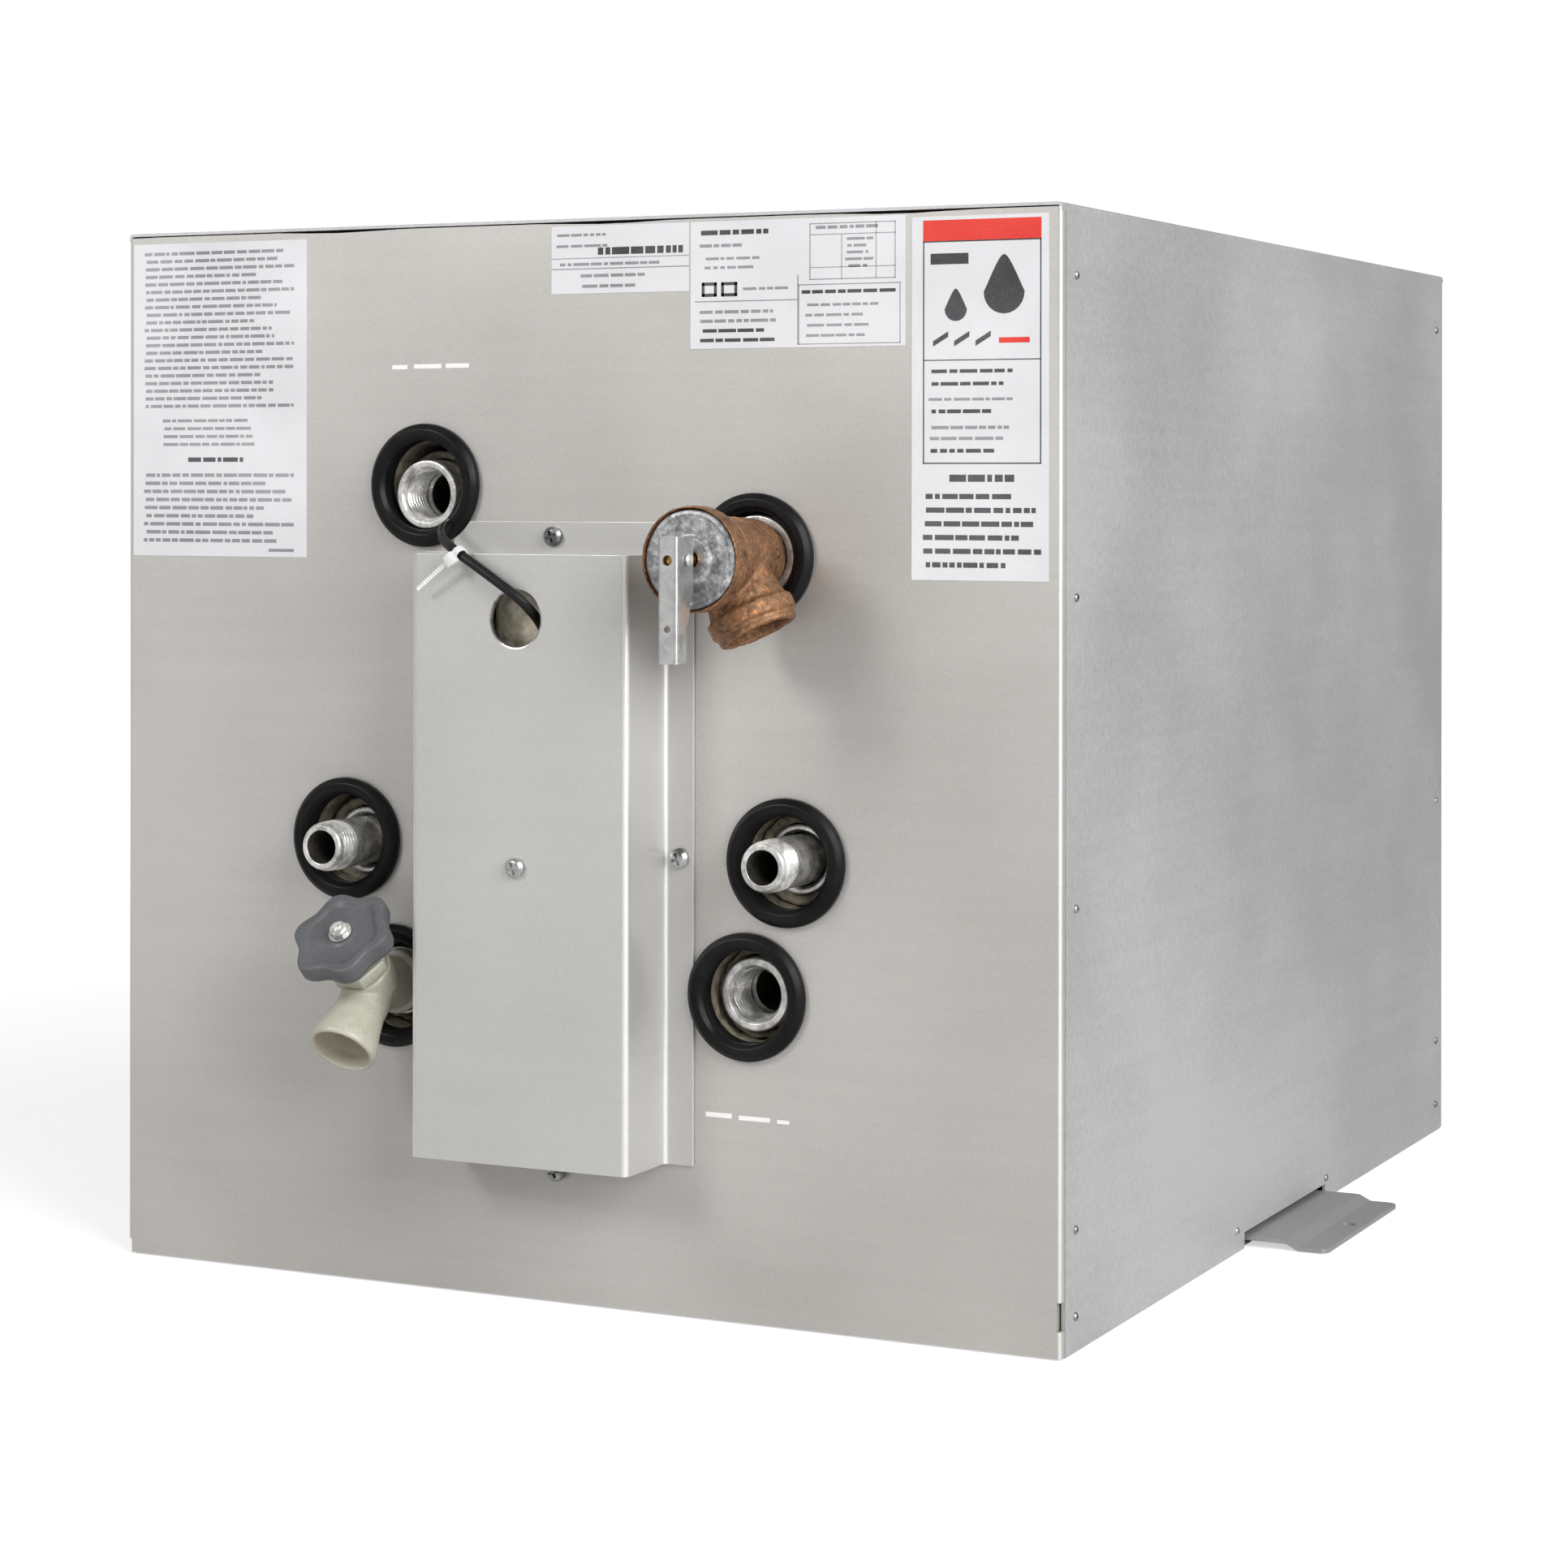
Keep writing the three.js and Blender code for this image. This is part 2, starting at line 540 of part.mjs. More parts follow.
// ---- Lead from the hot port to the wire hole, and the tie round it ----
const LEAD_R = 1.9;
const LEAD_ROUTE = [
  [-50.2, 16, 300.2], [-50.2, 6, 300.2], [-50, -3, 299.8], [-48.6, -10, 298],
  [-43.5, -20, 294.8], [-35, -29.5, 292], [-26, -35.2, 288.4], [-17, -36, 283.2],
  [-7.5, -36, 277.2], [0, -35.2, 272], [2.6, -32, 268], [2.4, -26, 264.4],
  [1, -18, 259.6], [-1.4, -9, 253.4], [-2.6, -1, 247.6], [-2.6, 6.5, 243.4], [-2.6, 11, 238.6],
];

function sensorLead() {
  return part("sensor_lead", bentRod(LEAD_ROUTE, LEAD_R, 8, 30), BLACK_PLASTIC());
}

// A band round the lead, its lock head and the tail that hangs over the cover's face.
function cableTie() {
  const at = [-26, -35.2, 288.4];
  const along = new THREE.Vector3(0.83, -0.32, -0.46).normalize();
  const band = tube(LEAD_R + 1.1, LEAD_R + GAP, -1.4, 1.4, at, along.toArray(), 12);
  const head = new THREE.BoxGeometry(4.2, 2.6, 4.4);
  head.rotateY(0.5);
  head.translate(-27.6, -38.9, 286.4);
  const tail = new THREE.BoxGeometry(20, 0.9, 2.4);
  tail.rotateY(-Math.atan2(12, 16));
  tail.translate(-35.4, -38.8, 280.4);
  return part("cable_tie", joined([band, solid(head), solid(tail)]), WHITE_NYLON());
}

// ---- Relief valve ----
const LEVER_INNER = 2.8; // half the room between the lever's cheeks
const RELIEF_AXIS = [RELIEF.x, 0, RELIEF.z];
const OUTLET_AXIS = new THREE.Vector3(0.45, 0, -0.893).normalize().toArray();

function reliefBody() {
  const shell = [
    [0, -18], [10.6, -18], [10.6, 1.6], [15, 1.6], [16.8, 8], [15.9, 27], [17.4, 44],
    [19.4, 47], [19.4, 55.2], [18.7, 55.2], [18.7, 50.2], [0, 50.2],
  ];
  const outletFrom = [RELIEF.x, -25.5, RELIEF.z];
  const outlet = [
    [0, 0], [13, 0], [15, 21], [16.4, 22], [16.4, 27], [15.2, 27.5], [15.2, 30.5], [0, 30.5],
  ];
  const body = turned(shell, RELIEF_AXIS, OUT, 22).add(turned(outlet, outletFrom, OUTLET_AXIS, 20));
  const tools = [
    rod(6, -20, 10, RELIEF_AXIS, OUT, 14),
    rod(11.4, 8, 60, RELIEF_AXIS, OUT, 16),
    rod(10.4, 4, 40, outletFrom, OUTLET_AXIS, 16),
    rod(12.3, 20, 40, outletFrom, OUTLET_AXIS, 16),
  ];
  return part("relief_body", cut(body, tools), BRONZE());
}

function reliefCap() {
  const profile = [
    [3.2, 50.6], [18.3, 50.6], [18.3, 53.6], [17.6, 54.4], [3.2, 54.4], [3.2, 50.6],
  ];
  return part("relief_cap", turned(profile, RELIEF_AXIS, OUT, 22), ZINC());
}

function reliefStem() {
  const profile = [
    [0, 10.4], [8.6, 10.4], [8.6, 13.4], [2.5, 14.4], [2.5, 69.6], [2.1, 70], [0, 70],
  ];
  const pinHole = rod(1.8, -6, 6, [RELIEF.x, -RELIEF_PIN_OUT, RELIEF.z], ACROSS, 12);
  return part("relief_stem", turned(profile, RELIEF_AXIS, OUT, 16).subtract(pinHole), BRASS());
}

function reliefSpring() {
  const turns = 5;
  const perTurn = 10;
  const from = 15.6;
  const to = 48.4;
  const r = 7.4;
  const points = [];
  for (let i = 0; i <= turns * perTurn; i++) {
    const angle = (i * 2 * Math.PI) / perTurn;
    const out = from + ((to - from) * i) / (turns * perTurn);
    points.push([RELIEF.x + r * Math.cos(angle), -out, RELIEF.z + r * Math.sin(angle)]);
  }
  return part("relief_spring", bentRod(points, 0.95, 5, turns * perTurn), STEEL());
}

// A folded channel that hangs in front of the cap: a front strap and two cheeks.
function reliefLever() {
  const top = RELIEF.z + 8.5;
  const bottom = RELIEF.z - 37;
  const outer = 4;
  const front = -(RELIEF_PIN_OUT + 8);
  const back = -(RELIEF_PIN_OUT - 4.6);
  const channel = block(RELIEF.x - outer, front, bottom, RELIEF.x + outer, back, top);
  const inner = LEVER_INNER;
  const room = block(RELIEF.x - inner, front + SHEET, bottom - 1, RELIEF.x + inner, back + 1, top + 1);
  const pinHole = rod(1.8, -6, 6, [RELIEF.x, -RELIEF_PIN_OUT, RELIEF.z], ACROSS, 12);
  const stemHole = rod(1.9, 60, 80, RELIEF_AXIS, OUT, 12);
  const wireHole = rod(1.3, 60, 80, [RELIEF.x, 0, RELIEF.z - 24.5], OUT, 12);
  return part("relief_lever", cut(channel, [room, pinHole, stemHole, wireHole]), ZINC());
}

function reliefPin() {
  const at = [RELIEF.x, -RELIEF_PIN_OUT, RELIEF.z];
  const shank = rod(1.45, -5.2, 5.2, at, ACROSS, 12);
  const heads = [-5.4, 4.3].map((s) => rod(2.3, s, s + 1.1, at, ACROSS, 12));
  return part("relief_lever_pin", joined([shank, ...heads]), STEEL());
}

function reliefProbe() {
  return part("relief_probe", rod(4.5, 18.4, 128, RELIEF_AXIS, INTO, 16), COPPER());
}

// ---- Drain valve: its spindle leans 45 degrees up and its spout 45 degrees down ----
const LEAN = Math.SQRT1_2;
const SPINDLE = [0, -LEAN, LEAN];
const SPOUT = [0, -LEAN, -LEAN];
const DRAIN_MID = [DRAIN.x, -DRAIN_MID_OUT, DRAIN.z + 0.6];

function drainBody() {
  const at = [DRAIN.x, 0, DRAIN.z];
  const inlet = [
    [0, -20], [9.2, -20], [9.2, -3.6], [12.6, -3.6], [12.6, 1.4], [10.6, 2.4], [10.6, 17], [0, 17],
  ];
  const bonnetSeat = [[0, 0], [11.4, 0], [11.4, 9.5], [10.6, 10.6], [0, 10.6]];
  const spout = [[0, 0], [10.4, 0], [10.2, 14], [11.2, 20], [13.1, 27], [13.3, 32], [0, 32]];
  const outside = joined([
    turned(inlet, at, OUT, 20),
    turned(bonnetSeat, DRAIN_MID, SPINDLE, 18),
    turned(spout, DRAIN_MID, SPOUT, 20),
  ]);
  const tools = [
    rod(5, -25, DRAIN_MID_OUT, at, OUT, 10),
    rod(7.6, -1, 12, DRAIN_MID, SPINDLE, 14),
    rod(6, 0, 22, DRAIN_MID, SPOUT, 12),
    turned([[0, 16], [7, 16], [11.2, 26], [11.4, 34], [0, 34]], DRAIN_MID, SPOUT, 16),
  ];
  return part("drain_body", cut(outside, tools), CREAM_PLASTIC());
}

function drainBonnet() {
  const nut = hexagon(21, 10.9, 16, DRAIN_MID, SPINDLE);
  const plug = rod(7, 6.5, 12, DRAIN_MID, SPINDLE, 16);
  const neck = rod(7, 15, 18.4, DRAIN_MID, SPINDLE, 16);
  const bore = rod(4.3, 0, 30, DRAIN_MID, SPINDLE, 16);
  return part("drain_bonnet", joined([nut, plug, neck]).subtract(bore), CREAM_PLASTIC());
}

function drainStem() {
  const profile = [
    [0, -2], [3, -2], [3, 1.6], [6, 1.6], [6, 1.9], [3.9, 1.9], [3.9, 24.6], [3, 24.6], [3, 30.4], [0, 30.4],
  ];
  const body = turned(profile, DRAIN_MID, SPINDLE, 16).subtract(rod(1.6, 22, 31, DRAIN_MID, SPINDLE, 10));
  return part("drain_stem", body, WHITE_NYLON());
}

function drainWasher() {
  return part("drain_washer", tube(5.6, 3.3, -0.8, 1.3, DRAIN_MID, SPINDLE, 16), RUBBER());
}

// A disc with six shallow lobes round its rim.
function drainHandwheel() {
  const middle = 19.3;
  const wave = 1.6;
  const sides = 36;
  const outline = [];
  for (let i = 0; i < sides; i++) {
    const angle = (i * 2 * Math.PI) / sides;
    const r = middle + wave * Math.cos(6 * angle);
    outline.push(new THREE.Vector2(r * Math.cos(angle), r * Math.sin(angle)));
  }
  const options = { depth: 8, bevelEnabled: false };
  const rim = new THREE.ExtrudeGeometry(new THREE.Shape(outline), options);
  const turn = new THREE.Quaternion();
  turn.setFromUnitVectors(new THREE.Vector3(...UP), new THREE.Vector3(...SPINDLE));
  rim.translate(0, 0, 24.9);
  rim.applyQuaternion(turn);
  rim.translate(...DRAIN_MID);
  const hollow = turned([[6, 20], [17, 20], [16.4, 29.9], [6, 29.9], [6, 20]], DRAIN_MID, SPINDLE, 24);
  const hub = rod(3.3, 20, 30.7, DRAIN_MID, SPINDLE, 16);
  const screwWay = rod(2, 30, 34, DRAIN_MID, SPINDLE, 12);
  return part("drain_handwheel", cut(solid(rim), [hollow, hub, screwWay]), GREY_PLASTIC());
}

function drainWheelScrew() {
  const profile = [
    [0, 24], [1.3, 25], [1.3, 33.2], [3.9, 33.2], [3.9, 34.6], [2.8, 35.8], [0, 36.2],
  ];
  const slots = [block(-4, -0.5, 35, 4, 0.5, 38), block(-0.5, -4, 35, 0.5, 4, 38)];
  const at = [0, 0, 0];
  const screw = cut(turned(profile, at, UP, 12), slots);
  const mesh = part("drain_wheel_screw", screw, STEEL());
  mesh.quaternion.setFromUnitVectors(new THREE.Vector3(...UP), new THREE.Vector3(...SPINDLE));
  mesh.position.set(...DRAIN_MID);
  return mesh;
}

// ---- Assembly ----
function heater() {
  const whole = new THREE.Group();
  whole.position.y = -CASE_D / 2;
  whole.add(jacketWrap(), frontPanel(), backPanel(), basePan());
  const split = TANK_Z;
  whole.add(insulation("insulation_lower", 4.6, split - GAP / 2));
  whole.add(insulation("insulation_upper", split + GAP / 2, TRAY_TOP - SHEET - 0.4));
  whole.add(tankShell(), ...couplings(), elementCoupling(), ...tankPipes(), heatExchanger());
  whole.add(nipple("coolant_nipple_left", COOL_L), nipple("coolant_nipple_right", COOL_R));
  whole.add(...grommets());

  const electrical = new THREE.Group();
  electrical.add(terminalCover(), ...coverScrews(), coverStandoff(), thermostatBracket());
  electrical.add(thermostatBody(), thermostatDial(), resetButton());
  electrical.add(heatingElement(), elementGasket());
  electrical.add(terminalScrew("element_terminal_left", ELEMENT.x - 9));
  electrical.add(terminalScrew("element_terminal_right", ELEMENT.x + 9));
  electrical.add(elementWire("element_wire_left", ELEMENT.x - 9, BLACK_PLASTIC()));
  electrical.add(elementWire("element_wire_right", ELEMENT.x + 9, WHITE_NYLON()));
  electrical.add(sensorLead(), cableTie());

  const relief = new THREE.Group();
  relief.add(reliefBody(), reliefCap(), reliefStem(), reliefSpring());
  relief.add(reliefLever(), reliefPin(), reliefProbe());

  const drain = new THREE.Group();
  drain.add(drainBody(), drainBonnet(), drainStem(), drainWasher(), drainHandwheel(), drainWheelScrew());

  whole.add(electrical, relief, drain);
  const root = new THREE.Group();
  root.add(whole);
  return root;
}

export default heater();
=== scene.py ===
"""Looks for the front-mount tank water heater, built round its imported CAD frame.
Lengths inside the piece functions are millimetres in the frame's own axes; meshes are made in metres."""

import json
import math
import random

import bpy
import bmesh
from mathutils import Matrix, Vector


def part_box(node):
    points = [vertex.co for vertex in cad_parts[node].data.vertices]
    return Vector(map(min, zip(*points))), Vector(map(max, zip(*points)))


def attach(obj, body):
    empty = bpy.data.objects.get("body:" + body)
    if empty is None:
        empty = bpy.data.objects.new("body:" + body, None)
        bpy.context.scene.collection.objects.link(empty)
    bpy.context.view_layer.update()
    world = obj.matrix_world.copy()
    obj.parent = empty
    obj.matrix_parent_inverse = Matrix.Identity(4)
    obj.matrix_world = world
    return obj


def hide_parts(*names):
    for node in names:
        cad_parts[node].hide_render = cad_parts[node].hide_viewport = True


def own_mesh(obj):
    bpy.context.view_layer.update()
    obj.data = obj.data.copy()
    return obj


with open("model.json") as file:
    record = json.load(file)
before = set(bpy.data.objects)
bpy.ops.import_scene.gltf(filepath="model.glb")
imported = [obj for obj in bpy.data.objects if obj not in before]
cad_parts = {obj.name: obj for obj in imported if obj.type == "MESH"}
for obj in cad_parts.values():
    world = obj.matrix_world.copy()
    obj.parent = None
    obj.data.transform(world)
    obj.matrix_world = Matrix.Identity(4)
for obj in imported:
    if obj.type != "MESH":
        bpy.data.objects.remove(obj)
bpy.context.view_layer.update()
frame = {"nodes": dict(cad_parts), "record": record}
MM = 0.001
SHEET = 1.2  # thickness of the case's sheet metal
SEAM = 0.4  # gap between a panel's edge and the wrap


def middle(node):
    """A CAD node's middle, in millimetres."""
    lo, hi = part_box(node)
    return (lo + hi) / 2 / MM


def low(node):
    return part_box(node)[0] / MM


def high(node):
    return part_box(node)[1] / MM


def outer_end(node, out=0.0):
    """The middle of a fitting's outer end, or a point `out` millimetres in from it."""
    return Vector((middle(node).x, low(node).y + out, middle(node).z))


FRONT = low("front_panel").y
BACK = high("back_panel").y
WIDE = high("jacket_wrap").x
TOP = high("jacket_wrap").z
OUT = (0, -1, 0)
ACROSS = (1, 0, 0)
UP = (0, 0, 1)
LEAN = math.sqrt(0.5)
SPINDLE = (0, -LEAN, LEAN)  # the drain valve's stem points out and up
SPOUT = (0, -LEAN, -LEAN)  # and its spout out and down


def on_front(node):
    """Where a fitting's axis meets the front panel's face."""
    return Vector((middle(node).x, FRONT, middle(node).z))


# ---- Materials ----
def srgb(r, g, b):
    """An 8-bit display colour as the linear colour that the shader takes."""
    def one(v):
        v /= 255
        return v / 12.92 if v <= 0.04045 else ((v + 0.055) / 1.055) ** 2.4
    return (one(r), one(g), one(b), 1)


def tuned(shader, **values):
    """Sets a node's inputs by name, with _ for each space."""
    for socket, value in values.items():
        shader.inputs[socket.replace("_", " ")].default_value = value


LOOKS = {}  # every finish by its name


class Finish:
    """A material whose colour, roughness and bump come from noise in the object's own space."""

    def __init__(self, name, metallic=0.0, **values):
        self.material = bpy.data.materials.new(name)
        self.material.use_nodes = True
        LOOKS[name] = self.material
        self.nodes = self.material.node_tree.nodes
        self.links = self.material.node_tree.links
        self.shader = self.nodes["Principled BSDF"]
        tuned(self.shader, Metallic=metallic, **values)
        self.where = self.nodes.new("ShaderNodeTexCoord").outputs["Object"]

    def node(self, kind, output, joins, **values):
        """Adds a shader node with its values and the inputs joined to it, and gives one of its outputs."""
        node = self.nodes.new("ShaderNode" + kind)
        tuned(node, **values)
        for socket, source in joins.items():
            self.links.new(source, node.inputs[socket])
        return node.outputs[output]

    def stretched(self, scale):
        return self.node("Mapping", "Vector", {"Vector": self.where}, Scale=scale)

    def noise(self, scale, detail=3, rough=0.5, where=None):
        joins = {"Vector": where or self.where}
        return self.node("TexNoise", "Fac", joins, Scale=scale, Detail=detail, Roughness=rough)

    def cells(self, scale):
        return self.node("TexVoronoi", "Distance", {"Vector": self.where}, Scale=scale)

    def blend(self, a, b, share):
        return self.node("Mix", "Result", {"A": a, "B": b}, Factor=share)

    def ramp(self, value, stops):
        node = self.nodes.new("ShaderNodeValToRGB")
        self.links.new(value, node.inputs["Fac"])
        elements = node.color_ramp.elements
        elements[0].position, elements[0].color = stops[0]
        elements[1].position, elements[1].color = stops[-1]
        for position, colour in stops[1:-1]:
            elements.new(position).color = colour
        return node.outputs["Color"]

    def spread(self, value, reach, ends):
        """Turns a value between the two of `reach` into one between the two of `ends`."""
        limits = dict(From_Min=reach[0], From_Max=reach[1], To_Min=ends[0], To_Max=ends[1])
        return self.node("MapRange", "Result", {"Value": value}, **limits)

    def colour(self, value):
        self.links.new(value, self.shader.inputs["Base Color"])

    def tones(self, value, *stops):
        self.colour(self.ramp(value, [(position, srgb(*rgb)) for position, rgb in stops]))

    def roughness(self, value, lowest, highest):
        self.links.new(self.spread(value, (0.3, 0.7), (lowest, highest)), self.shader.inputs["Roughness"])

    def bump(self, value, distance, strength):
        normal = self.node("Bump", "Normal", {"Height": value}, Strength=strength, Distance=distance)
        self.links.new(normal, self.shader.inputs["Normal"])


def sheet_metal(name, dark, light, metallic, roughness, grain_scale=1400):
    """Rolled sheet: soft clouds of tone, fine grain, faint streaks along the rolling direction."""
    look = Finish(name, metallic)
    clouds = look.noise(7, 2)
    grain = look.noise(grain_scale, 2, 0.6)
    streaks = look.noise(160, 2, 0.6, look.stretched((0.05, 0.05, 1)))
    tone = look.blend(look.blend(clouds, streaks, 0.16), grain, 0.35)
    look.tones(tone, (0.36, dark), (0.62, light))
    look.roughness(look.blend(grain, clouds, 0.4), roughness - 0.05, roughness + 0.07)
    look.bump(look.blend(grain, streaks, 0.3), 0.00003, 0.14)


def machined(name, dark, light, roughness, metallic=1.0):
    """Turned steel: bright, with patches of grime and fine tool marks."""
    look = Finish(name, metallic)
    patches = look.noise(140, 4, 0.65)
    marks = look.noise(900, 2, 0.6, look.stretched((1, 0.15, 1)))
    look.tones(patches, (0.38, dark), (0.58, light))
    look.roughness(patches, roughness + 0.14, roughness)
    look.bump(marks, 0.00005, 0.4)


def moulded(name, dark, light, roughness, **values):
    """Moulded plastic: nearly even in tone, with a fine skin."""
    look = Finish(name, 0.0, **values)
    tone = look.blend(look.noise(45, 3), look.noise(1500, 2), 0.4)
    look.tones(tone, (0.35, dark), (0.65, light))
    look.roughness(look.noise(300, 3), roughness - 0.06, roughness + 0.08)
    look.bump(look.noise(2200, 2), 0.00004, 0.3)


def cast_bronze():
    look = Finish("bronze", 0.55)
    skin = look.blend(look.noise(620, 4, 0.7), look.noise(110, 3), 0.4)
    browns = [(0.36, (78, 54, 38)), (0.45, (126, 92, 66)), (0.56, (152, 114, 82)), (0.66, (236, 148, 92))]
    look.tones(skin, *browns)
    look.roughness(skin, 0.62, 0.42)
    look.bump(look.noise(700, 5, 0.7), 0.0005, 0.7)


def mottled_cap():
    """Grey plating worn in bright and dark patches."""
    look = Finish("valve_cap", 0.65)
    skin = look.blend(look.noise(190, 5, 0.75), look.noise(520, 3, 0.7), 0.35)
    greys = [(0.36, (96, 96, 98)), (0.47, (146, 147, 149)), (0.56, (188, 189, 190)), (0.64, (240, 240, 240))]
    look.tones(skin, *greys)
    look.roughness(skin, 0.5, 0.34)
    look.bump(skin, 0.0003, 0.5)


def loose_fibre(name, dark, light):
    """Glass wool: matt, with clumps and gaps."""
    look = Finish(name)
    tone = look.blend(look.noise(420, 5, 0.7), look.cells(260), 0.35)
    look.tones(tone, (0.3, dark), (0.7, light))
    tuned(look.shader, Roughness=0.95)
    look.bump(tone, 0.0012, 0.8)


def black_rubber():
    look = Finish("rubber", 0.0, Specular_IOR_Level=0.16)
    look.tones(look.noise(90, 4), (0.35, (12, 12, 13)), (0.7, (24, 24, 25)))
    look.roughness(look.noise(160, 4), 0.3, 0.46)
    look.bump(look.noise(900, 3), 0.00008, 0.4)


def paper(name, dark, light, roughness):
    look = Finish(name, 0.0, Specular_IOR_Level=0.4)
    tone = look.blend(look.noise(25, 3), look.noise(1100, 2), 0.3)
    look.tones(tone, (0.35, dark), (0.65, light))
    look.roughness(look.noise(220, 3), roughness - 0.05, roughness + 0.05)
    look.bump(look.noise(700, 2), 0.00003, 0.3)


sheet_metal("front_sheet", (180, 177, 173), (200, 197, 193), 0.5, 0.42)
sheet_metal("wrap_sheet", (176, 176, 177), (202, 202, 203), 0.5, 0.46, 520)
sheet_metal("cover_sheet", (193, 192, 189), (206, 205, 202), 0.5, 0.34)
# The packing's tones are darkened here: painted shade for packing that sits in shadow behind the grommets.
loose_fibre("fibre", (94, 87, 73), (148, 139, 121))
sheet_metal("tank_steel", (110, 112, 115), (156, 158, 160), 0.8, 0.45)
machined("threaded_steel", (166, 164, 159), (244, 243, 240), 0.24, 0.72)
machined("copper", (120, 62, 38), (200, 122, 84), 0.3)
black_rubber()
machined("zinc_screw", (112, 112, 112), (206, 206, 206), 0.28)
moulded("black_plastic", (14, 14, 15), (30, 30, 31), 0.42, Specular_IOR_Level=0.25)
moulded("white_nylon", (206, 206, 202), (236, 236, 232), 0.38, Subsurface_Weight=0.1)
moulded("red_plastic", (146, 26, 20), (182, 42, 32), 0.3)
machined("brass", (138, 96, 58), (214, 170, 108), 0.28)
cast_bronze()
mottled_cap()
machined("lever_steel", (186, 186, 186), (222, 222, 221), 0.3)
moulded("cream_plastic", (160, 156, 141), (192, 189, 174), 0.36, Subsurface_Weight=0.08)
moulded("grey_plastic", (76, 77, 79), (100, 101, 103), 0.4, Specular_IOR_Level=0.3)
# Painted highlight: a lighter, shinier copy of the sheet for the faces on its bends.
sheet_metal("bend_painted_highlight", (232, 231, 228), (246, 245, 243), 0.75, 0.34)
# A paler copy of the packing: painted light for the bulge that sits in the shade of the wire hole.
loose_fibre("fibre_painted_light", (206, 192, 166), (252, 244, 224))
# Painted shade: dark tones for the faces deep inside pipe bores.
machined("bore_shade_paint", (30, 27, 24), (58, 54, 49), 0.5, 0.3)
# A darker copy of the wrap's sheet: painted shade for the base pan and its ears down by the floor.
sheet_metal("wrap_sheet_painted_shade", (142, 142, 143), (164, 164, 165), 0.5, 0.46, 520)
paper("sticker", (208, 208, 210), (220, 220, 222), 0.4)
paper("ink", (52, 52, 54), (92, 92, 95), 0.5)
paper("faint_ink", (128, 128, 131), (160, 160, 163), 0.5)
paper("red_ink", (208, 50, 40), (228, 72, 60), 0.4)
paper("white_ink", (232, 230, 226), (248, 247, 244), 0.4)


# ---- Meshes ----
LEVEL_NORMAL = 100  # the greatest weight that Blender gives a face's area
BEND_STEPS = 5  # flats in each rounded corner


def mesh_piece(name, points, faces, smooth=35):
    """A mesh object from points in millimetres; edges sharper than `smooth` degrees stay hard."""
    mesh = bpy.data.meshes.new(name)
    mesh.from_pydata([tuple(Vector(p) * MM) for p in points], [], faces)
    work = bmesh.new()
    work.from_mesh(mesh)
    bmesh.ops.recalc_face_normals(work, faces=work.faces)
    work.to_mesh(mesh)
    work.free()
    return shaded(linked(name, mesh), smooth)


def shaded(piece, angle):
    """Smooth shading, with edges sharper than `angle` degrees left hard."""
    piece.data.shade_smooth()
    piece.data.set_sharp_from_angle(angle=math.radians(angle))
    return piece


def evaluated(piece):
    """The piece's mesh with its modifiers and curves worked out."""
    graph = bpy.context.evaluated_depsgraph_get()
    return bpy.data.meshes.new_from_object(piece.evaluated_get(graph))


def applied(piece):
    """Puts the piece's modifiers into its mesh."""
    final = evaluated(piece)
    piece.modifiers.clear()
    piece.data = final
    return piece


def baked(piece, smooth):
    return shaded(applied(piece), smooth)


def linked(name, data):
    thing = bpy.data.objects.new(name, data)
    bpy.context.scene.collection.objects.link(thing)
    return thing


def cut(piece, tools, smooth=35):
    """Takes the tools' shapes out of the piece and removes the tools."""
    for tool in tools:
        modifier = piece.modifiers.new("cut", "BOOLEAN")
        modifier.operation = "DIFFERENCE"
        modifier.solver = "EXACT"
        modifier.object = tool
    baked(piece, smooth)
    for tool in tools:
        bpy.data.objects.remove(tool)
    return piece


def merged(name, pieces):
    """Several shells as one mesh object."""
    work = bmesh.new()
    for piece in pieces:
        work.from_mesh(piece.data)
        bpy.data.objects.remove(piece)
    mesh = bpy.data.meshes.new(name)
    work.to_mesh(mesh)
    work.free()
    return shaded(linked(name, mesh), 35)


def remeshed(piece, voxel):
    """Overlapping shells as one skin with softened inner corners."""
    modifier = piece.modifiers.new("skin", "REMESH")
    modifier.mode = "VOXEL"
    modifier.voxel_size = voxel * MM
    soften = piece.modifiers.new("soften", "SMOOTH")
    soften.factor = 0.5
    soften.iterations = 2
    return baked(piece, 60)


def roughened(piece, grain, proud, level, smooth):
    """The surface moved in and out by up to `proud` millimetres, in lumps about `grain` across."""
    lumps = bpy.data.textures.new("lumps", "CLOUDS")
    lumps.noise_scale = grain * MM
    lumps.noise_depth = 3
    modifier = piece.modifiers.new("lumps", "DISPLACE")
    modifier.texture = lumps
    modifier.texture_coords = "LOCAL"
    modifier.strength = proud * MM
    modifier.mid_level = level
    return baked(piece, smooth)


def eased_edges(piece, width, segments=2):
    modifier = piece.modifiers.new("edges", "BEVEL")
    modifier.width = width * MM
    modifier.segments = segments
    modifier.limit_method = "ANGLE"
    modifier.angle_limit = math.radians(50)
    return baked(piece, 40)


def levelled(piece):
    """Gives large flat faces their own true normal, so that bends and holes beside them don't shade them."""
    modifier = piece.modifiers.new("level", "WEIGHTED_NORMAL")
    modifier.mode = "FACE_AREA"
    modifier.weight = LEVEL_NORMAL
    modifier.keep_sharp = True
    return applied(piece)


def partly(piece, look, chosen):
    """Gives a second look to the faces that `chosen` picks."""
    piece.data.materials.append(LOOKS[look])
    for face in piece.data.polygons:
        if chosen(face):
            face.material_index = 1


def painted_bend_highlights(piece):
    """Faces on the folds that run along z get a lighter, shinier look: a painted highlight on the bends."""
    def folded(face):
        across, along, up = (abs(part) for part in face.normal)
        return max(across, along) < 0.985 and up < 0.2
    partly(piece, "bend_painted_highlight", folded)


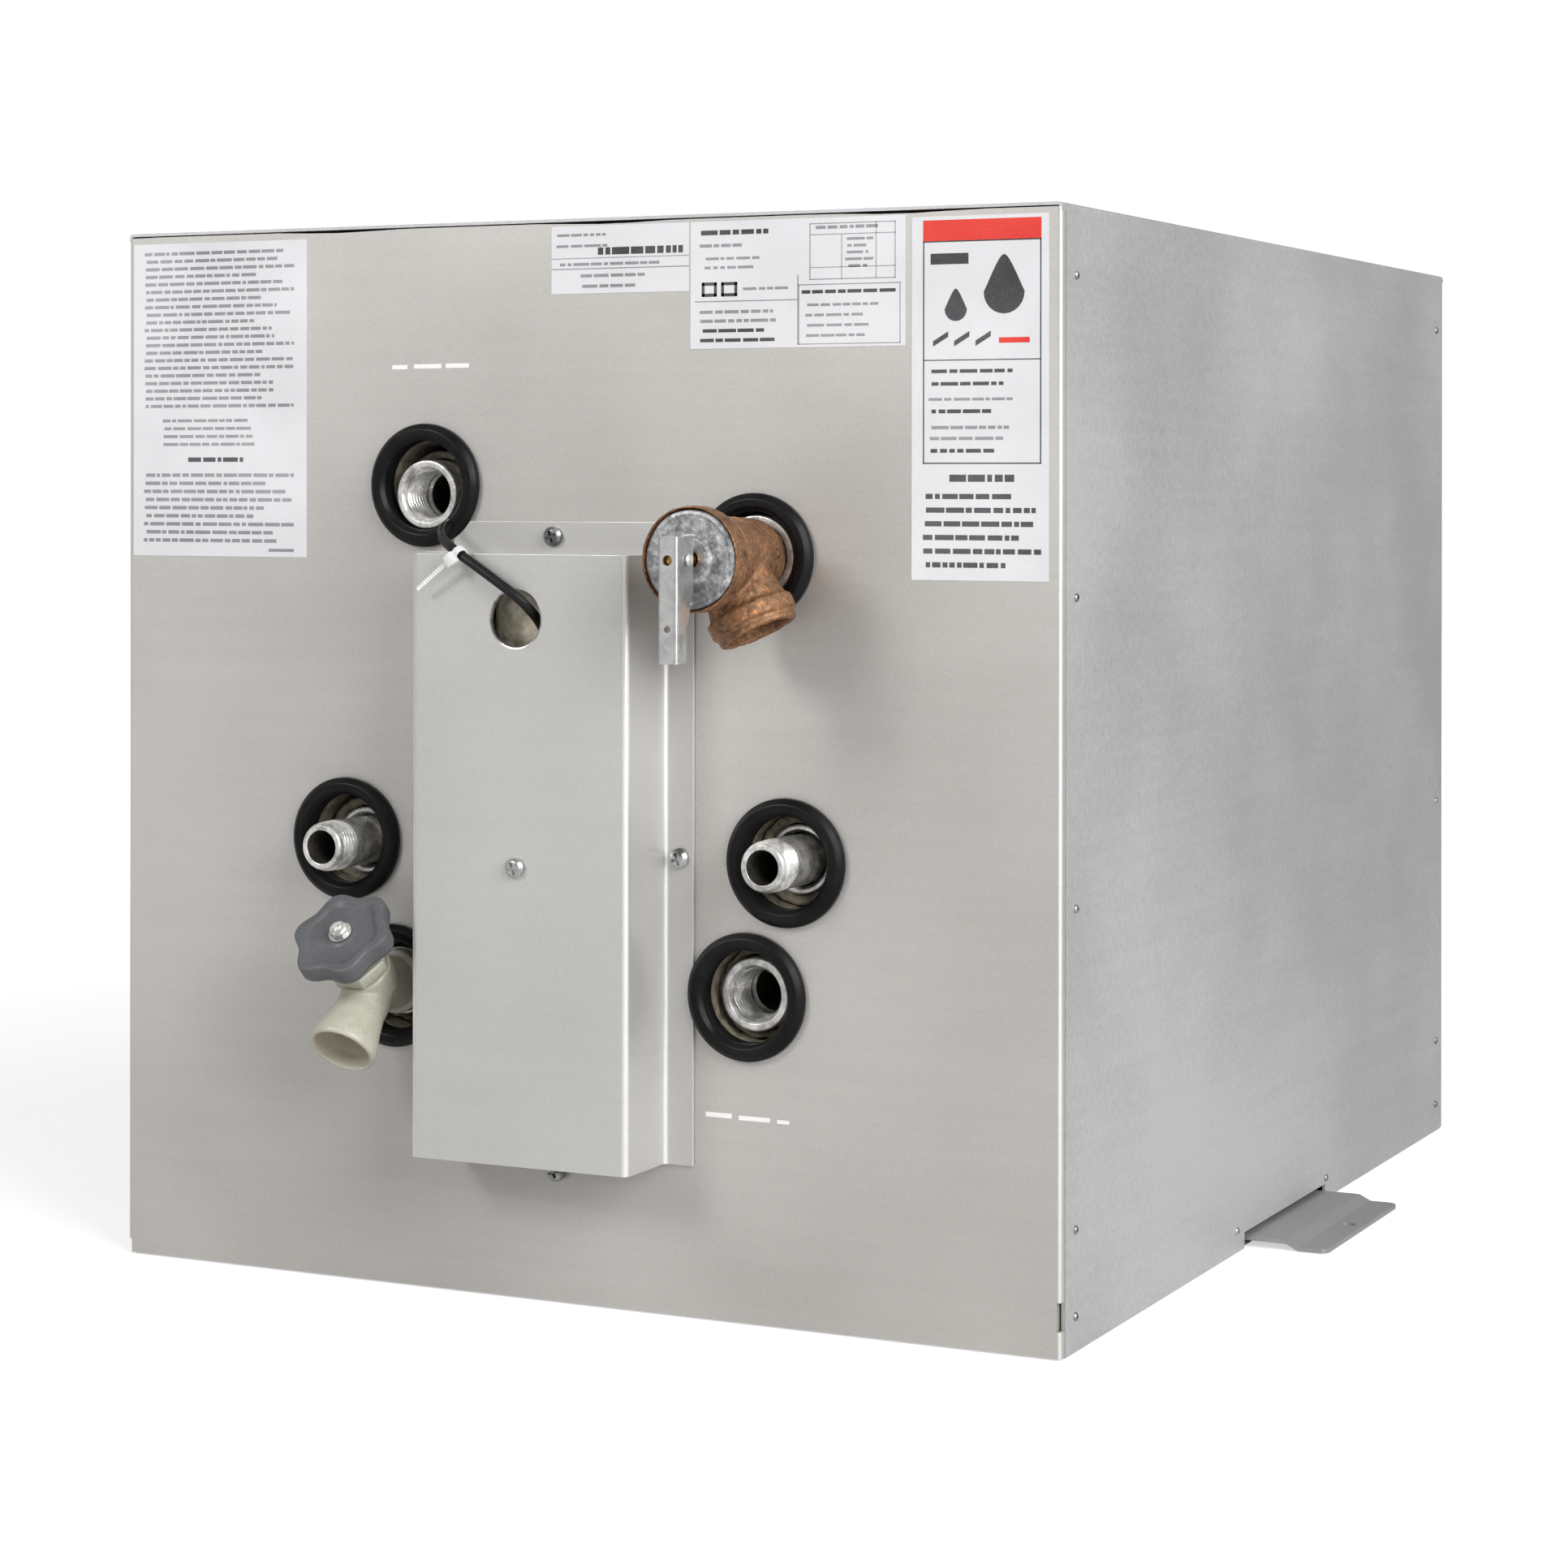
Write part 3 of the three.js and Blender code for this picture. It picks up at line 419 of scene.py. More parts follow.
def rounded_path(points, closed=False):
    """Points as (a, b) or (a, b, radius), with each rounded corner drawn as a curve."""
    path = []
    count = len(points)
    for i, point in enumerate(points):
        here = Vector(point[:2])
        radius = point[2] if len(point) > 2 else 0
        ends = not closed and i in (0, count - 1)
        if not radius or ends:
            path.append(here)
            continue
        before = Vector(points[i - 1][:2]) - here
        after = Vector(points[(i + 1) % count][:2]) - here
        turn = before.angle(after)
        reach = min(radius / math.tan(turn / 2), before.length * 0.49, after.length * 0.49)
        a = here + before.normalized() * reach
        b = here + after.normalized() * reach
        for k in range(BEND_STEPS + 1):
            t = k / BEND_STEPS
            path.append(a * (1 - t) ** 2 + here * 2 * t * (1 - t) + b * t * t)
    return path


def lathe(name, profile, start, axis, sides, wave=None, smooth=35):
    """A closed outline of (radius, distance[, rounding]) turned about the line from `start` along `axis`.
    It may touch the axis. `wave(radius, distance, angle)` gives a new radius."""
    turn = Vector((0, 0, 1)).rotation_difference(Vector(axis)).to_matrix()
    start = Vector(start)
    path = rounded_path(profile, closed=profile[0][0] > 0)
    points, rings = [], []
    for r, s in path:
        ring = []
        for k in range(sides if r > 1e-6 else 1):
            angle = math.tau * k / sides
            radius = wave(r, s, angle) if wave else r
            local = Vector((radius * math.cos(angle), radius * math.sin(angle), s))
            ring.append(len(points))
            points.append(start + turn @ local)
        rings.append(ring)
    pairs = list(zip(rings, rings[1:]))
    if profile[0][0] > 0:
        pairs.append((rings[-1], rings[0]))
    faces = []
    for a, b in pairs:
        for k in range(sides):
            n = (k + 1) % sides
            if len(a) == 1 and len(b) > 1:
                faces.append((a[0], b[k], b[n]))
            elif len(b) == 1 and len(a) > 1:
                faces.append((a[k], b[0], a[n]))
            elif len(a) > 1:
                faces.append((a[k], b[k], b[n], a[n]))
    return mesh_piece(name, points, faces, smooth)


def rod(r, s0, s1, start, axis, sides=48):
    return lathe("tool", [(0, s0), (r, s0), (r, s1), (0, s1)], start, axis, sides)


def block(lo, hi, name="tool"):
    points = [(x, y, z) for x in (lo[0], hi[0]) for y in (lo[1], hi[1]) for z in (lo[2], hi[2])]
    faces = [(0, 1, 3, 2), (4, 6, 7, 5), (0, 4, 5, 1), (2, 3, 7, 6), (0, 2, 6, 4), (1, 5, 7, 3)]
    return mesh_piece(name, points, faces)


def threads(s0, s1, r0, r1, pitch):
    """Profile points along a threaded stretch, close enough for its ridges."""
    count = max(2, round(abs(s1 - s0) / pitch * 6))
    return [(r0 + (r1 - r0) * k / count, s0 + (s1 - s0) * k / count) for k in range(count + 1)]


def thread_wave(s0, s1, pitch, depth, side, limits):
    """A V thread between s0 and s1: `side` is 1 for ridges that stand out and -1 for ones that stand in."""
    def wave(r, s, angle):
        if not (s0 - 1e-6 <= s <= s1 + 1e-6 and limits[0] <= r <= limits[1]):
            return r
        fade = min(1, (s - s0) / pitch, (s1 - s) / pitch)
        turn = (s / pitch - angle / math.tau) % 1
        return r + side * depth * max(fade, 0) * (1 - abs(2 * turn - 1))
    return wave


def offset(path, thickness):
    """The line that runs `thickness` to the left of an open path."""
    moved = []
    for i, here in enumerate(path):
        ahead = (path[i + 1] - here).normalized() if i + 1 < len(path) else None
        behind = (here - path[i - 1]).normalized() if i else None
        a, b = ahead or behind, behind or ahead
        left = Vector((-(a.y + b.y), a.x + b.x)).normalized()
        half = max(0.35, math.sqrt(max(0, (1 + a.dot(b)) / 2)))
        moved.append(here + left * thickness / half)
    return moved


def bent_sheet(name, path, place, ends, thickness=SHEET):
    """Sheet metal bent along `path`, a 2-D line with bends, and pushed between its two ends.
    `place(a, b, end)` puts a section point at one end; `ends` are the two values that it takes."""
    line = rounded_path(path)
    section = line + list(reversed(offset(line, thickness)))
    count = len(section)
    points = [place(p.x, p.y, end) for end in ends for p in section]
    faces = [(k, (k + 1) % count, (k + 1) % count + count, k + count) for k in range(count)]
    half = len(line)
    for base in (0, count):
        last = base + count - 1
        faces += [(base + k, base + k + 1, last - k - 1, last - k) for k in range(half - 1)]
    return mesh_piece(name, points, faces, 25)


def tube(name, points, radius, sides=8):
    """A round cord along a smooth curve that the points steer."""
    curve = bpy.data.curves.new(name, "CURVE")
    curve.dimensions = "3D"
    curve.bevel_depth = radius * MM
    curve.bevel_resolution = sides
    curve.use_fill_caps = True
    spline = curve.splines.new("NURBS")
    spline.points.add(len(points) - 1)
    for slot, point in zip(spline.points, points):
        slot.co = (*(Vector(point) * MM), 1)
    spline.use_endpoint_u = True
    spline.order_u = 4
    curve.resolution_u = 12
    loose = linked(name, curve)
    mesh = evaluated(loose)
    bpy.data.objects.remove(loose)
    return shaded(linked(name, mesh), 50)


def placed(piece, body, slot, *nodes, look=None):
    """Gives a piece its finish and its body, and hides the CAD nodes that it stands for."""
    piece.data.materials.clear()
    piece.data.materials.append(LOOKS[look or slot])
    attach(piece, body)
    if nodes:
        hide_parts(*nodes)
    return piece


# ---- Case ----
PORTS = ["hot", "cold", "relief", "drain", "coolant_left", "coolant_right"]
COUPLINGS = {  # in the ports' order: outer, mouth and bore radius, and depth of the thread
    "hot_outlet_coupling": (13.5, 10.4, 8.4, 17),
    "cold_inlet_coupling": (14, 10.4, 8.4, 17),
    "relief_coupling": (15.7, 12.2, 11.2, 22),
    "drain_coupling": (13.5, 10.4, 9.6, 22),
    "coolant_coupling_left": (13.2, 10.6, 9.9, 24),
    "coolant_coupling_right": (13.2, 10.6, 9.9, 24),
}
PIPE_PITCH = 1.81  # 14 threads to the inch
BEND = 2.4  # radius of the fold round a panel's edge
EDGE = 3.6  # how far a panel's rounded edge runs back to the seam with the wrap
TRAY_EDGE = 24  # depth of a panel's turned lips
HOLE_R = 22  # radius of the panel's holes for the grommets
NOTCHES = {1: (10, 20.5), -1: (-1, 5.8)}  # heights of the small notch in the panel's right and left edges
NOTCH_DEEP = 3.4
EAR_Y = (-45, 59)  # the mounting ears' front and back edges
EAR_SLACK = 4  # how much longer the notch in the wrap is than the ear, at each end


def top_gap(x):
    """How far the front sheet's top edge stays below the wrap, a little different along its width."""
    return 0.35 + 0.75 * max(0, math.sin(x / 19.5 + 0.6)) ** 1.5


def panel_section(side):
    """A panel's section from left to right: a short edge, a round bend, the face, and the same again.
    side is 1 for the front panel and -1 for the back one."""
    face = FRONT if side > 0 else BACK
    run = [(WIDE - 0.1, EDGE), (WIDE - 0.1, 0, BEND)]
    left = [(-x, face + side * back, *more) for x, back, *more in run]
    right = [(x, face + side * back, *more) for x, back, *more in reversed(run)]
    spans = 28
    across = [(-WIDE + 2 * WIDE * k / spans, face) for k in range(1, spans)]
    path = [*left, *across, *right]
    return path if side > 0 else list(reversed(path))


def panel(name, side):
    bottom, top = 0.3, TOP - SHEET - 0.2

    def place(a, b, end):
        z = bottom if end == 0 else top - top_gap(a)
        return (a, b, z)

    piece = bent_sheet(name, panel_section(side), place, (0, 1))
    face = FRONT if side > 0 else BACK
    inner = WIDE - SHEET - 1
    depth = sorted((face + side * (SHEET + 0.3), face + side * TRAY_EDGE))
    lips = [
        block((-inner + 1, depth[0], top - 3.4), (inner - 1, depth[1], top - 2.4)),
        block((-inner + 1, depth[0], bottom + 1.6), (inner - 1, depth[1], bottom + 2.6)),
        block((inner - SHEET, depth[0], bottom + 3), (inner, depth[1], top - 4)),
        block((-inner, depth[0], bottom + 3), (-inner + SHEET, depth[1], top - 4)),
    ]
    return piece, lips


def front_panel():
    piece, lips = panel("front_panel_sheet", 1)
    tools = [rod(HOLE_R, -6, 6, on_front(f"grommet_{port}"), OUT) for port in PORTS]
    cover_lo, cover_hi = low("terminal_cover"), high("terminal_cover")
    mid = (cover_lo.x + cover_hi.x) / 2
    window = block((mid - 34, FRONT - 5, cover_lo.z + 22), (mid + 34, FRONT + 5, cover_hi.z - 18))
    tools.append(window)
    for side in (-1, 1):
        xs = sorted((side * (WIDE - 1.9), side * (WIDE + 1)))
        z0, z1 = NOTCHES[side]
        tools.append(block((xs[0], FRONT - 1, z0), (xs[1], FRONT + NOTCH_DEEP, z1)))
    cut(piece, tools, 25)
    whole = levelled(merged("front_panel_sheet", [piece, *lips]))
    # painted highlight on the panel's bends
    painted_bend_highlights(placed(whole, "case", "front_sheet", "front_panel"))


def back_panel():
    piece, lips = panel("back_panel_sheet", -1)
    whole = levelled(merged("back_panel_sheet", [piece, *lips]))
    # painted highlight on the panel's bends
    painted_bend_highlights(placed(whole, "case", "front_sheet", "back_panel"))


def wrap():
    bend = 2
    path = [(WIDE, 0), (WIDE, TOP, bend), (-WIDE, TOP, bend), (-WIDE, 0)]

    def place(a, b, end):
        return (a, end, b)

    start = FRONT + 0.3
    piece = bent_sheet("jacket_sheet", path, place, (start, BACK - 0.3))
    ear_lo, ear_hi = EAR_Y[0] - EAR_SLACK, EAR_Y[1] + EAR_SLACK
    tools = []
    for side in (-1, 1):
        xs = sorted((side * (WIDE - 4), side * (WIDE + 4)))
        tools.append(block((xs[0], ear_lo, -1), (xs[1], ear_hi, 6.5)))
        tools.append(block((xs[0], FRONT - 1, -1), (xs[1], FRONT + EDGE + SEAM, TOP - 3)))
        tools.append(block((xs[0], BACK - EDGE - SEAM, -1), (xs[1], BACK + 1, TOP - 3)))
    placed(levelled(cut(piece, tools, 25)), "case", "wrap_sheet", "jacket_wrap")


def ear(side):
    """One mounting ear with its hole and its two rounded outer corners."""
    path = [(188, 0), (193.5, 0, 3), (197.5, 2.5, 3), (221, 2.5, 3), (226, 0, 3), (238.5, 0)]
    tip, hole_x, corner_r = 239, 231.6, 4

    def place(a, b, end):
        return (side * a, end, b)

    sheet = bent_sheet("ear", path, place, EAR_Y, 1.8)
    tools = [rod(3.4, -5, 8, (side * hole_x, sum(EAR_Y) / 2, 0), UP)]
    for y, turn in ((EAR_Y[0], 1), (EAR_Y[1], -1)):
        corner = block((side * tip - 3, y - 3, -2), (side * tip + 3, y + 3, 6))
        keep = rod(corner_r, -4, 8, (side * 234.5, y + turn * corner_r, 0), UP)
        tools.append(cut(corner, [keep]))
    return eased_edges(cut(sheet, tools, 25), 0.2)


def base_pan():
    """The floor sheet and its two ears, which step up through the wrap and down to the floor; they take a
    darker copy of the wrap's look, painted shade.
    """
    lo, hi = low("base_pan"), high("base_pan")
    plate = block((-WIDE + 1.6, lo.y, 0), (WIDE - 1.6, hi.y, 1.6), "pan")
    shells = [plate, ear(1), ear(-1)]
    placed(levelled(merged("base_sheet", shells)), "case", "wrap_sheet", "base_pan", look="wrap_sheet_painted_shade")


def screw_head(name, at, axis, r, height, shank):
    """A pan head with a cross recess, standing on the surface at `at`."""
    profile = [
        (0, -shank), (r * 0.42, -shank), (r * 0.42, 0), (r, 0, 0.2),
        (r, height * 0.45, 0.6), (r * 0.66, height, 1.2), (0, height),
    ]
    head = lathe(name, profile, at, axis, 40)
    upright = Vector(UP).rotation_difference(Vector(axis)).to_matrix().to_4x4()
    slots = []
    for turn in (0.35, 0.35 + math.pi / 2):
        slot = block((-r * 0.62, -r * 0.13, height * 0.45), (r * 0.62, r * 0.13, height + 1))
        slot.data.transform(Matrix.Rotation(turn, 4, "Z"))
        slot.data.transform(upright)
        slot.data.transform(Matrix.Translation(Vector(at) * MM))
        slots.append(slot)
    return cut(head, slots, 40)


def case_screws():
    """Small rivet-like screws down each side's edges and one pair near each ear."""
    spots = [(-243, z) for z in (391, 274, 161, 44.5, 13)]
    spots += [(244, z) for z in (390, 161, 44, 13)]
    spots += [(-59, 9), (64, 9)]
    for side, name in ((1, "right"), (-1, "left")):
        heads = [screw_head("head", (side * WIDE, y, z), (side, 0, 0), 1.6, 1.0, 4) for y, z in spots]
        placed(merged(f"case_screws_{name}", heads), "case", "zinc_screw")


# ---- Ports ----
def grommet(port):
    """A rubber ring that grips the panel's edge; the hot port's one lets the sensor's lead through."""
    node = f"grommet_{port}"
    at = on_front(node)
    profile = [
        (17.5, -4.4, 0.6), (24, -4.4, 1), (24, -1.5, 0.6), (21.4, -1.5), (21.4, 0.1), (24.2, 0.1, 0.3),
        (24.2, 2.6, 1.6), (22, 4.5, 1.4), (19.2, 4.5, 1.4), (17.5, 2.6, 1.2),
    ]
    piece = lathe(f"{node}_ring", profile, at, OUT, 96)
    if port == "hot":
        x, _, z = LEAD_ROUTE[0]
        cut(piece, [rod(LEAD_R + 0.15, -8, 8, (x, FRONT, z), OUT, 24)])
    placed(piece, "case", "rubber", node)


def bore_painted_shade(piece, at, r):
    """Painted shade inside a pipe: every face nearer than `r` to the axis through `at` gets a dark look."""
    def inside(face):
        return math.hypot(face.center.x - at.x * MM, face.center.z - at.z * MM) < r * MM
    partly(piece, "bore_shade_paint", inside)


def coupling(node, outer, mouth, bore, depth):
    """A weld coupling: chamfered face, tapered pipe thread inside, then a plain bore."""
    at = outer_end(node)
    wall = threads(-depth, -1.2, mouth - 1, mouth, PIPE_PITCH)
    profile = [(bore, -46), (outer, -46), (outer, 0, 0.8), (mouth + 0.8, 0, 0.3)]
    profile += [*reversed(wall), (bore, -depth - 1.4, 0.4)]
    wave = thread_wave(-depth, -1.2, PIPE_PITCH, 0.7, -1, (mouth - 1.1, mouth + 0.1))
    piece = lathe(f"{node}_body", profile, at, OUT, 72, wave)
    # painted shade in the plain bore
    bore_painted_shade(placed(piece, "case", "threaded_steel", node), at, bore + 0.25)


def nipple(node):
    """A close pipe nipple with a tapered thread at its free end."""
    at = outer_end(node)
    outer, bore = 9.6, 6.2
    wall = threads(-13, -0.9, 9.35, 9.0, PIPE_PITCH)
    profile = [(bore, -55), (outer, -55), (outer, -14.5, 0.4), *wall]
    profile += [(8.3, 0, 0.3), (6.7, 0, 0.4), (bore, -0.8)]
    wave = thread_wave(-13, -0.9, PIPE_PITCH, 0.62, 1, (8.9, 9.5))
    piece = lathe(f"{node}_pipe", profile, at, OUT, 72, wave)
    # painted shade in the plain bore
    bore_painted_shade(placed(piece, "case", "threaded_steel", node), at, bore + 0.25)


def ports():
    for port in PORTS:
        grommet(port)
    for node, sizes in COUPLINGS.items():
        coupling(node, *sizes)
    nipple("coolant_nipple_left")
    nipple("coolant_nipple_right")


# ---- Terminal cover ----
COVER_FLANGE = 12
COVER_RIM = 0.3  # gap between the cover's flange and the panel
COVER_BEND = 2.2  # radius of the fold between its walls and its flange
WIRE_HOLE = (-3.4, 264)  # x and z of the hole that the lead goes in by
LEAD_R = 1.9
LEAD_ROUTE = [
    (-50.2, -241, 300.2), (-50.2, -251, 300.2), (-50, -260, 299.8), (-48.6, -267, 298),
    (-43.5, -277, 294.8), (-35, -286.5, 292), (-26, -292.2, 288.4), (-17, -293, 283.2),
    (-7.5, -293, 277.2), (0, -292.2, 272), (2.6, -289, 268), (2.4, -283, 264.4),
    (1, -275, 259.6), (-1.4, -266, 253.4), (-2.6, -258, 247.6), (-2.6, -250.5, 243.4), (-2.6, -246, 238.6),
]


def cover_shell():
    """The hat section, and a lip bent out at its top and at its bottom."""
    lo, hi = low("terminal_cover"), high("terminal_cover")
    x0, x1 = lo.x + COVER_FLANGE, hi.x - COVER_FLANGE
    z0, z1 = lo.z + COVER_FLANGE, hi.z - COVER_FLANGE
    face, foot = lo.y, FRONT - COVER_RIM - SHEET
    hat = [
        (x0 - COVER_FLANGE, foot), (x0, foot, COVER_BEND), (x0, face, 3), (x1, face, 3),
        (x1, foot, COVER_BEND), (x1 + COVER_FLANGE, foot),
    ]
    shells = [bent_sheet("cover", hat, lambda a, b, end: (a, b, end), (z0, z1))]
    for end, side in ((z1, 1), (z0, -1)):
        wall = end - side * (SHEET + COVER_BEND)
        step = [(face + 1.6, wall), (foot, wall, 1.6), (foot, end + side * COVER_FLANGE)]
        if side > 0:
            step.reverse()
        shells.append(bent_sheet("lip", step, lambda a, b, x: (x, a, b), (x0 + 0.9, x1 - 0.9)))
    return merged("cover_body", shells)


def terminal_cover():
    """The cover, cut away round three grommets, and the bright edge of its wire hole."""
    piece = cover_shell()
    tools = [rod(24.7, -3, 8, on_front(f"grommet_{port}"), OUT, 72) for port in ("hot", "cold", "drain")]
    wire = Vector((WIRE_HOLE[0], low("terminal_cover").y, WIRE_HOLE[1]))
    tools.append(rod(11.3, -6, 6, wire, OUT, 64))
    cut(piece, tools, 25)
    whole = levelled(eased_edges(piece, 0.18))
    # painted highlight on the cover's side bends
    painted_bend_highlights(placed(whole, "case", "cover_sheet", "terminal_cover"))
    ring = [(10.7, -1.9, 0.3), (11.9, -1.9, 0.2), (11.9, -1.3), (11.3, -1.3), (11.3, 0.05), (10.7, -0.1, 0.2)]
    placed(lathe("cover_hole_edge", ring, wire, OUT, 64), "case", "zinc_screw")


def fibre_bulge():
    """The packing that swells out through the panel's window to just behind the wire hole, in a paler copy of
    the packing's look: painted light against the shade inside the hole.
    """
    wire = Vector((WIRE_HOLE[0], FRONT, WIRE_HOLE[1]))
    dome = [(0, -6), (17, -6), (17, 2), (21, 8, 4), (18.5, 17, 6), (8, 20, 4), (0, 20.3)]
    piece = remeshed(lathe("fibre_bulge", dome, wire, OUT, 48), 0.9)
    placed(roughened(piece, 5, 1.8, 0.6, 80), "case", "fibre", look="fibre_painted_light")


def fibre_collars():
    """The packing round each pipe, a little way in behind its grommet, in the packing's look darkened as
    painted shade.
    """
    for port, pipe in zip(PORTS, COUPLINGS):
        outer = (high(pipe).x - low(pipe).x) / 2
        ring = [
            (outer + 0.6, -22), (17.6, -22), (17.6, -11, 1.5),
            ((outer + 18) / 2, -9.6, 2), (outer + 0.6, -12, 1),
        ]
        piece = remeshed(lathe(f"fibre_collar_{port}", ring, on_front(pipe), OUT, 64), 0.7)
        placed(roughened(piece, 3.5, 2.0, 0.7, 80), "case", "fibre")


def cover_screws():
    for where in ("top", "bottom", "left", "right", "centre"):
        node = f"cover_screw_{where}"
        piece = screw_head(f"{node}_head", outer_end(node, 2.8), OUT, 3.9, 2.7, 8)
        placed(piece, "case", "zinc_screw", node)


def sensor_lead():
    placed(tube("sensor_lead_cord", LEAD_ROUTE, LEAD_R), "case", "black_plastic", "sensor_lead")


def tie_head(at):
    """The tie's lock: a small rounded block, turned to face along the tail."""
    head = block((-2.3, -1.5, -2.4), (2.3, 1.5, 2.4))
    head.data.transform(Vector(OUT).rotation_difference(Vector((0, -1, 0.02))).to_matrix().to_4x4())
    turn = 0.64
    for vertex in head.data.vertices:
        x, z = vertex.co.x, vertex.co.z
        vertex.co.x = x * math.cos(turn) - z * math.sin(turn) + at.x * MM
        vertex.co.z = x * math.sin(turn) + z * math.cos(turn) + at.z * MM
        vertex.co.y += at.y * MM
    return eased_edges(head, 0.5)


def tie_tail(start):
    """The tie's free end: it narrows, bends in a little and has a tooth at every other step."""
    steps = 30
    length, half_width = 19, 1.15
    heading = Vector((-0.8, 0, -0.6))
    side = Vector((0.6, 0, -0.8))
    points, faces = [], []
    for k in range(steps + 1):
        share = k / steps
        wide = half_width * (0.72 if k % 2 else 1.0) * (1 - 0.35 * k / steps)
        here = start + heading * (length * k / steps) + Vector((0, 1.2 * share ** 2, 0))
        thick = 0.55 if k % 2 else 0.3
        for s, t in ((-1, -1), (1, -1), (1, 1), (-1, 1)):
            points.append(here + side * s * wide + Vector((0, t * thick, 0)))
        if k:
            base = 4 * k
            faces += [(base - 4 + m, base - 4 + (m + 1) % 4, base + (m + 1) % 4, base + m) for m in range(4)]
    faces += [(0, 1, 2, 3), tuple(4 * steps + m for m in range(4))]
    return mesh_piece("tail", points, faces, 20)


def cable_tie():
    """A band round the lead, its lock head, and the toothed tail."""
    along = Vector((0.83, -0.32, -0.46)).normalized()
    ring = [(2.1, -1.4, 0.2), (3, -1.4, 0.2), (3, 1.4, 0.2), (2.1, 1.4, 0.2)]
    band = lathe("band", ring, LEAD_ROUTE[6], along, 40)
    head_at = Vector((-27.6, low("terminal_cover").y - 6.9, 286.4))
    head = tie_head(head_at)
    tail = tie_tail(Vector((-28, head_at.y, 286)))
    placed(merged("cable_tie_strap", [band, head, tail]), "case", "white_nylon", "cable_tie")


# ---- Relief valve ----
RELIEF = Vector((82, FRONT, 287.8))
OUTLET = Vector((0.45, 0, -0.893)).normalized()
LEVER_OUT = 64  # how far the lever's pin stands out from the panel


def relief_body():
    """The cast body: a barrel along the port's axis and the outlet's neck across it."""
    barrel = [
        (0, -17), (10.6, -17), (10.6, 1.6, 0.5), (13.2, 1.6, 1.5), (14.6, 7, 4), (15, 17, 6), (15.5, 28, 6),
        (17.2, 43, 3), (19.4, 46.6, 1), (19.4, 55.0, 0.8), (18.7, 55.0, 0.3), (18.7, 50, 0.3), (11.4, 50),
        (11.4, 12), (0, 12),
    ]
    neck = [
        (0, 6), (13.2, 6), (13.4, 12, 4), (14.9, 20.4, 0.8), (16.6, 21.6, 1), (16.6, 26.6, 0.9),
        (15.0, 27.4, 0.4), (15.2, 30.5, 0.9), (12.2, 30.5, 0.4), (11.8, 18), (0, 18),
    ]
    start = RELIEF + Vector((0, -25.5, 0))
    shells = [lathe("barrel", barrel, RELIEF, OUT, 72), lathe("neck", neck, start, OUTLET, 72)]
    piece = remeshed(merged("relief_valve_body", shells), 0.55)
    placed(roughened(piece, 2.6, 0.7, 0.5, 60), "case", "bronze", "relief_body")


def relief_cap():
    profile = [
        (3.2, 50.6), (18.2, 50.6, 0.4), (18.2, 53.8, 0.9), (16.6, 54.4, 0.4), (15.6, 54.0, 0.6), (9, 54.0, 1),
        (7.6, 54.9, 0.6), (4.4, 54.9, 0.5), (3.2, 54.2),
    ]

    def dents(r, s, angle):
        return r + (0.12 * math.sin(5 * angle + s) if r > 17 else 0)

    placed(lathe("relief_cap_disc", profile, RELIEF, OUT, 72, dents), "case", "valve_cap", "relief_cap")


def relief_stem():
    stem = [
        (0, 10.4), (8.6, 10.4, 0.4), (8.6, 13.4, 0.6), (2.5, 14.4, 0.4),
        (2.5, 68.6, 0.3), (2.1, 69.8, 0.4), (0, 70),
    ]
    placed(lathe("relief_stem_rod", stem, RELIEF, OUT, 40), "relief_stem", "brass", "relief_stem")


def relief_pin():
    """The lever's rivet, which rides on the stem."""
    pin_at = RELIEF + Vector((0, -LEVER_OUT, 0))
    pin = [
        (0, -5.5), (1.6, -5.5, 0.5), (2.3, -4.9, 0.3), (2.3, -4.4, 0.2), (1.45, -4.4), (1.45, 4.4),
        (2.3, 4.4, 0.2), (2.3, 4.9, 0.3), (1.6, 5.5, 0.5), (0, 5.5),
    ]
    piece = lathe("relief_lever_rivet", pin, pin_at, ACROSS, 32)
    placed(piece, "relief_stem", "threaded_steel", "relief_lever_pin")


def relief_lever():
    """The strap: folded to a channel that hangs from the pin, with its sides cut back below."""
    half = 4
    front, back = FRONT - LEVER_OUT - 8, FRONT - LEVER_OUT + 4.6
    top, bottom = RELIEF.z + 8.5, RELIEF.z - 37
    left, right = RELIEF.x - half, RELIEF.x + half
    channel = [(left, back), (left, front, 1.5), (right, front, 1.5), (right, back)]
    piece = bent_sheet("relief_lever_strap", channel, lambda a, b, end: (a, b, end), (bottom, top))
    pin_hole = rod(1.8, -6, 6, RELIEF + Vector((0, -LEVER_OUT, 0)), ACROSS, 32)
    stem_hole = rod(1.9, 60, 80, RELIEF, OUT, 32)
    low_hole = rod(1.3, 60, 80, RELIEF + Vector((0, 0, -24.5)), OUT, 32)
    tools = [pin_hole, stem_hole, low_hole]
    for x in (left, right - 2):
        low_corner = block((x - 1, back - 5, bottom - 1), (x + 3, back + 1, bottom + 24))
        keep = rod(26, -9, 9, (RELIEF.x, back - 28, bottom + 24.5), ACROSS, 96)
        tools.append(cut(low_corner, [keep]))
    strap = levelled(eased_edges(cut(piece, tools, 25), 0.15))
    placed(strap, "relief_lever", "lever_steel", "relief_lever")


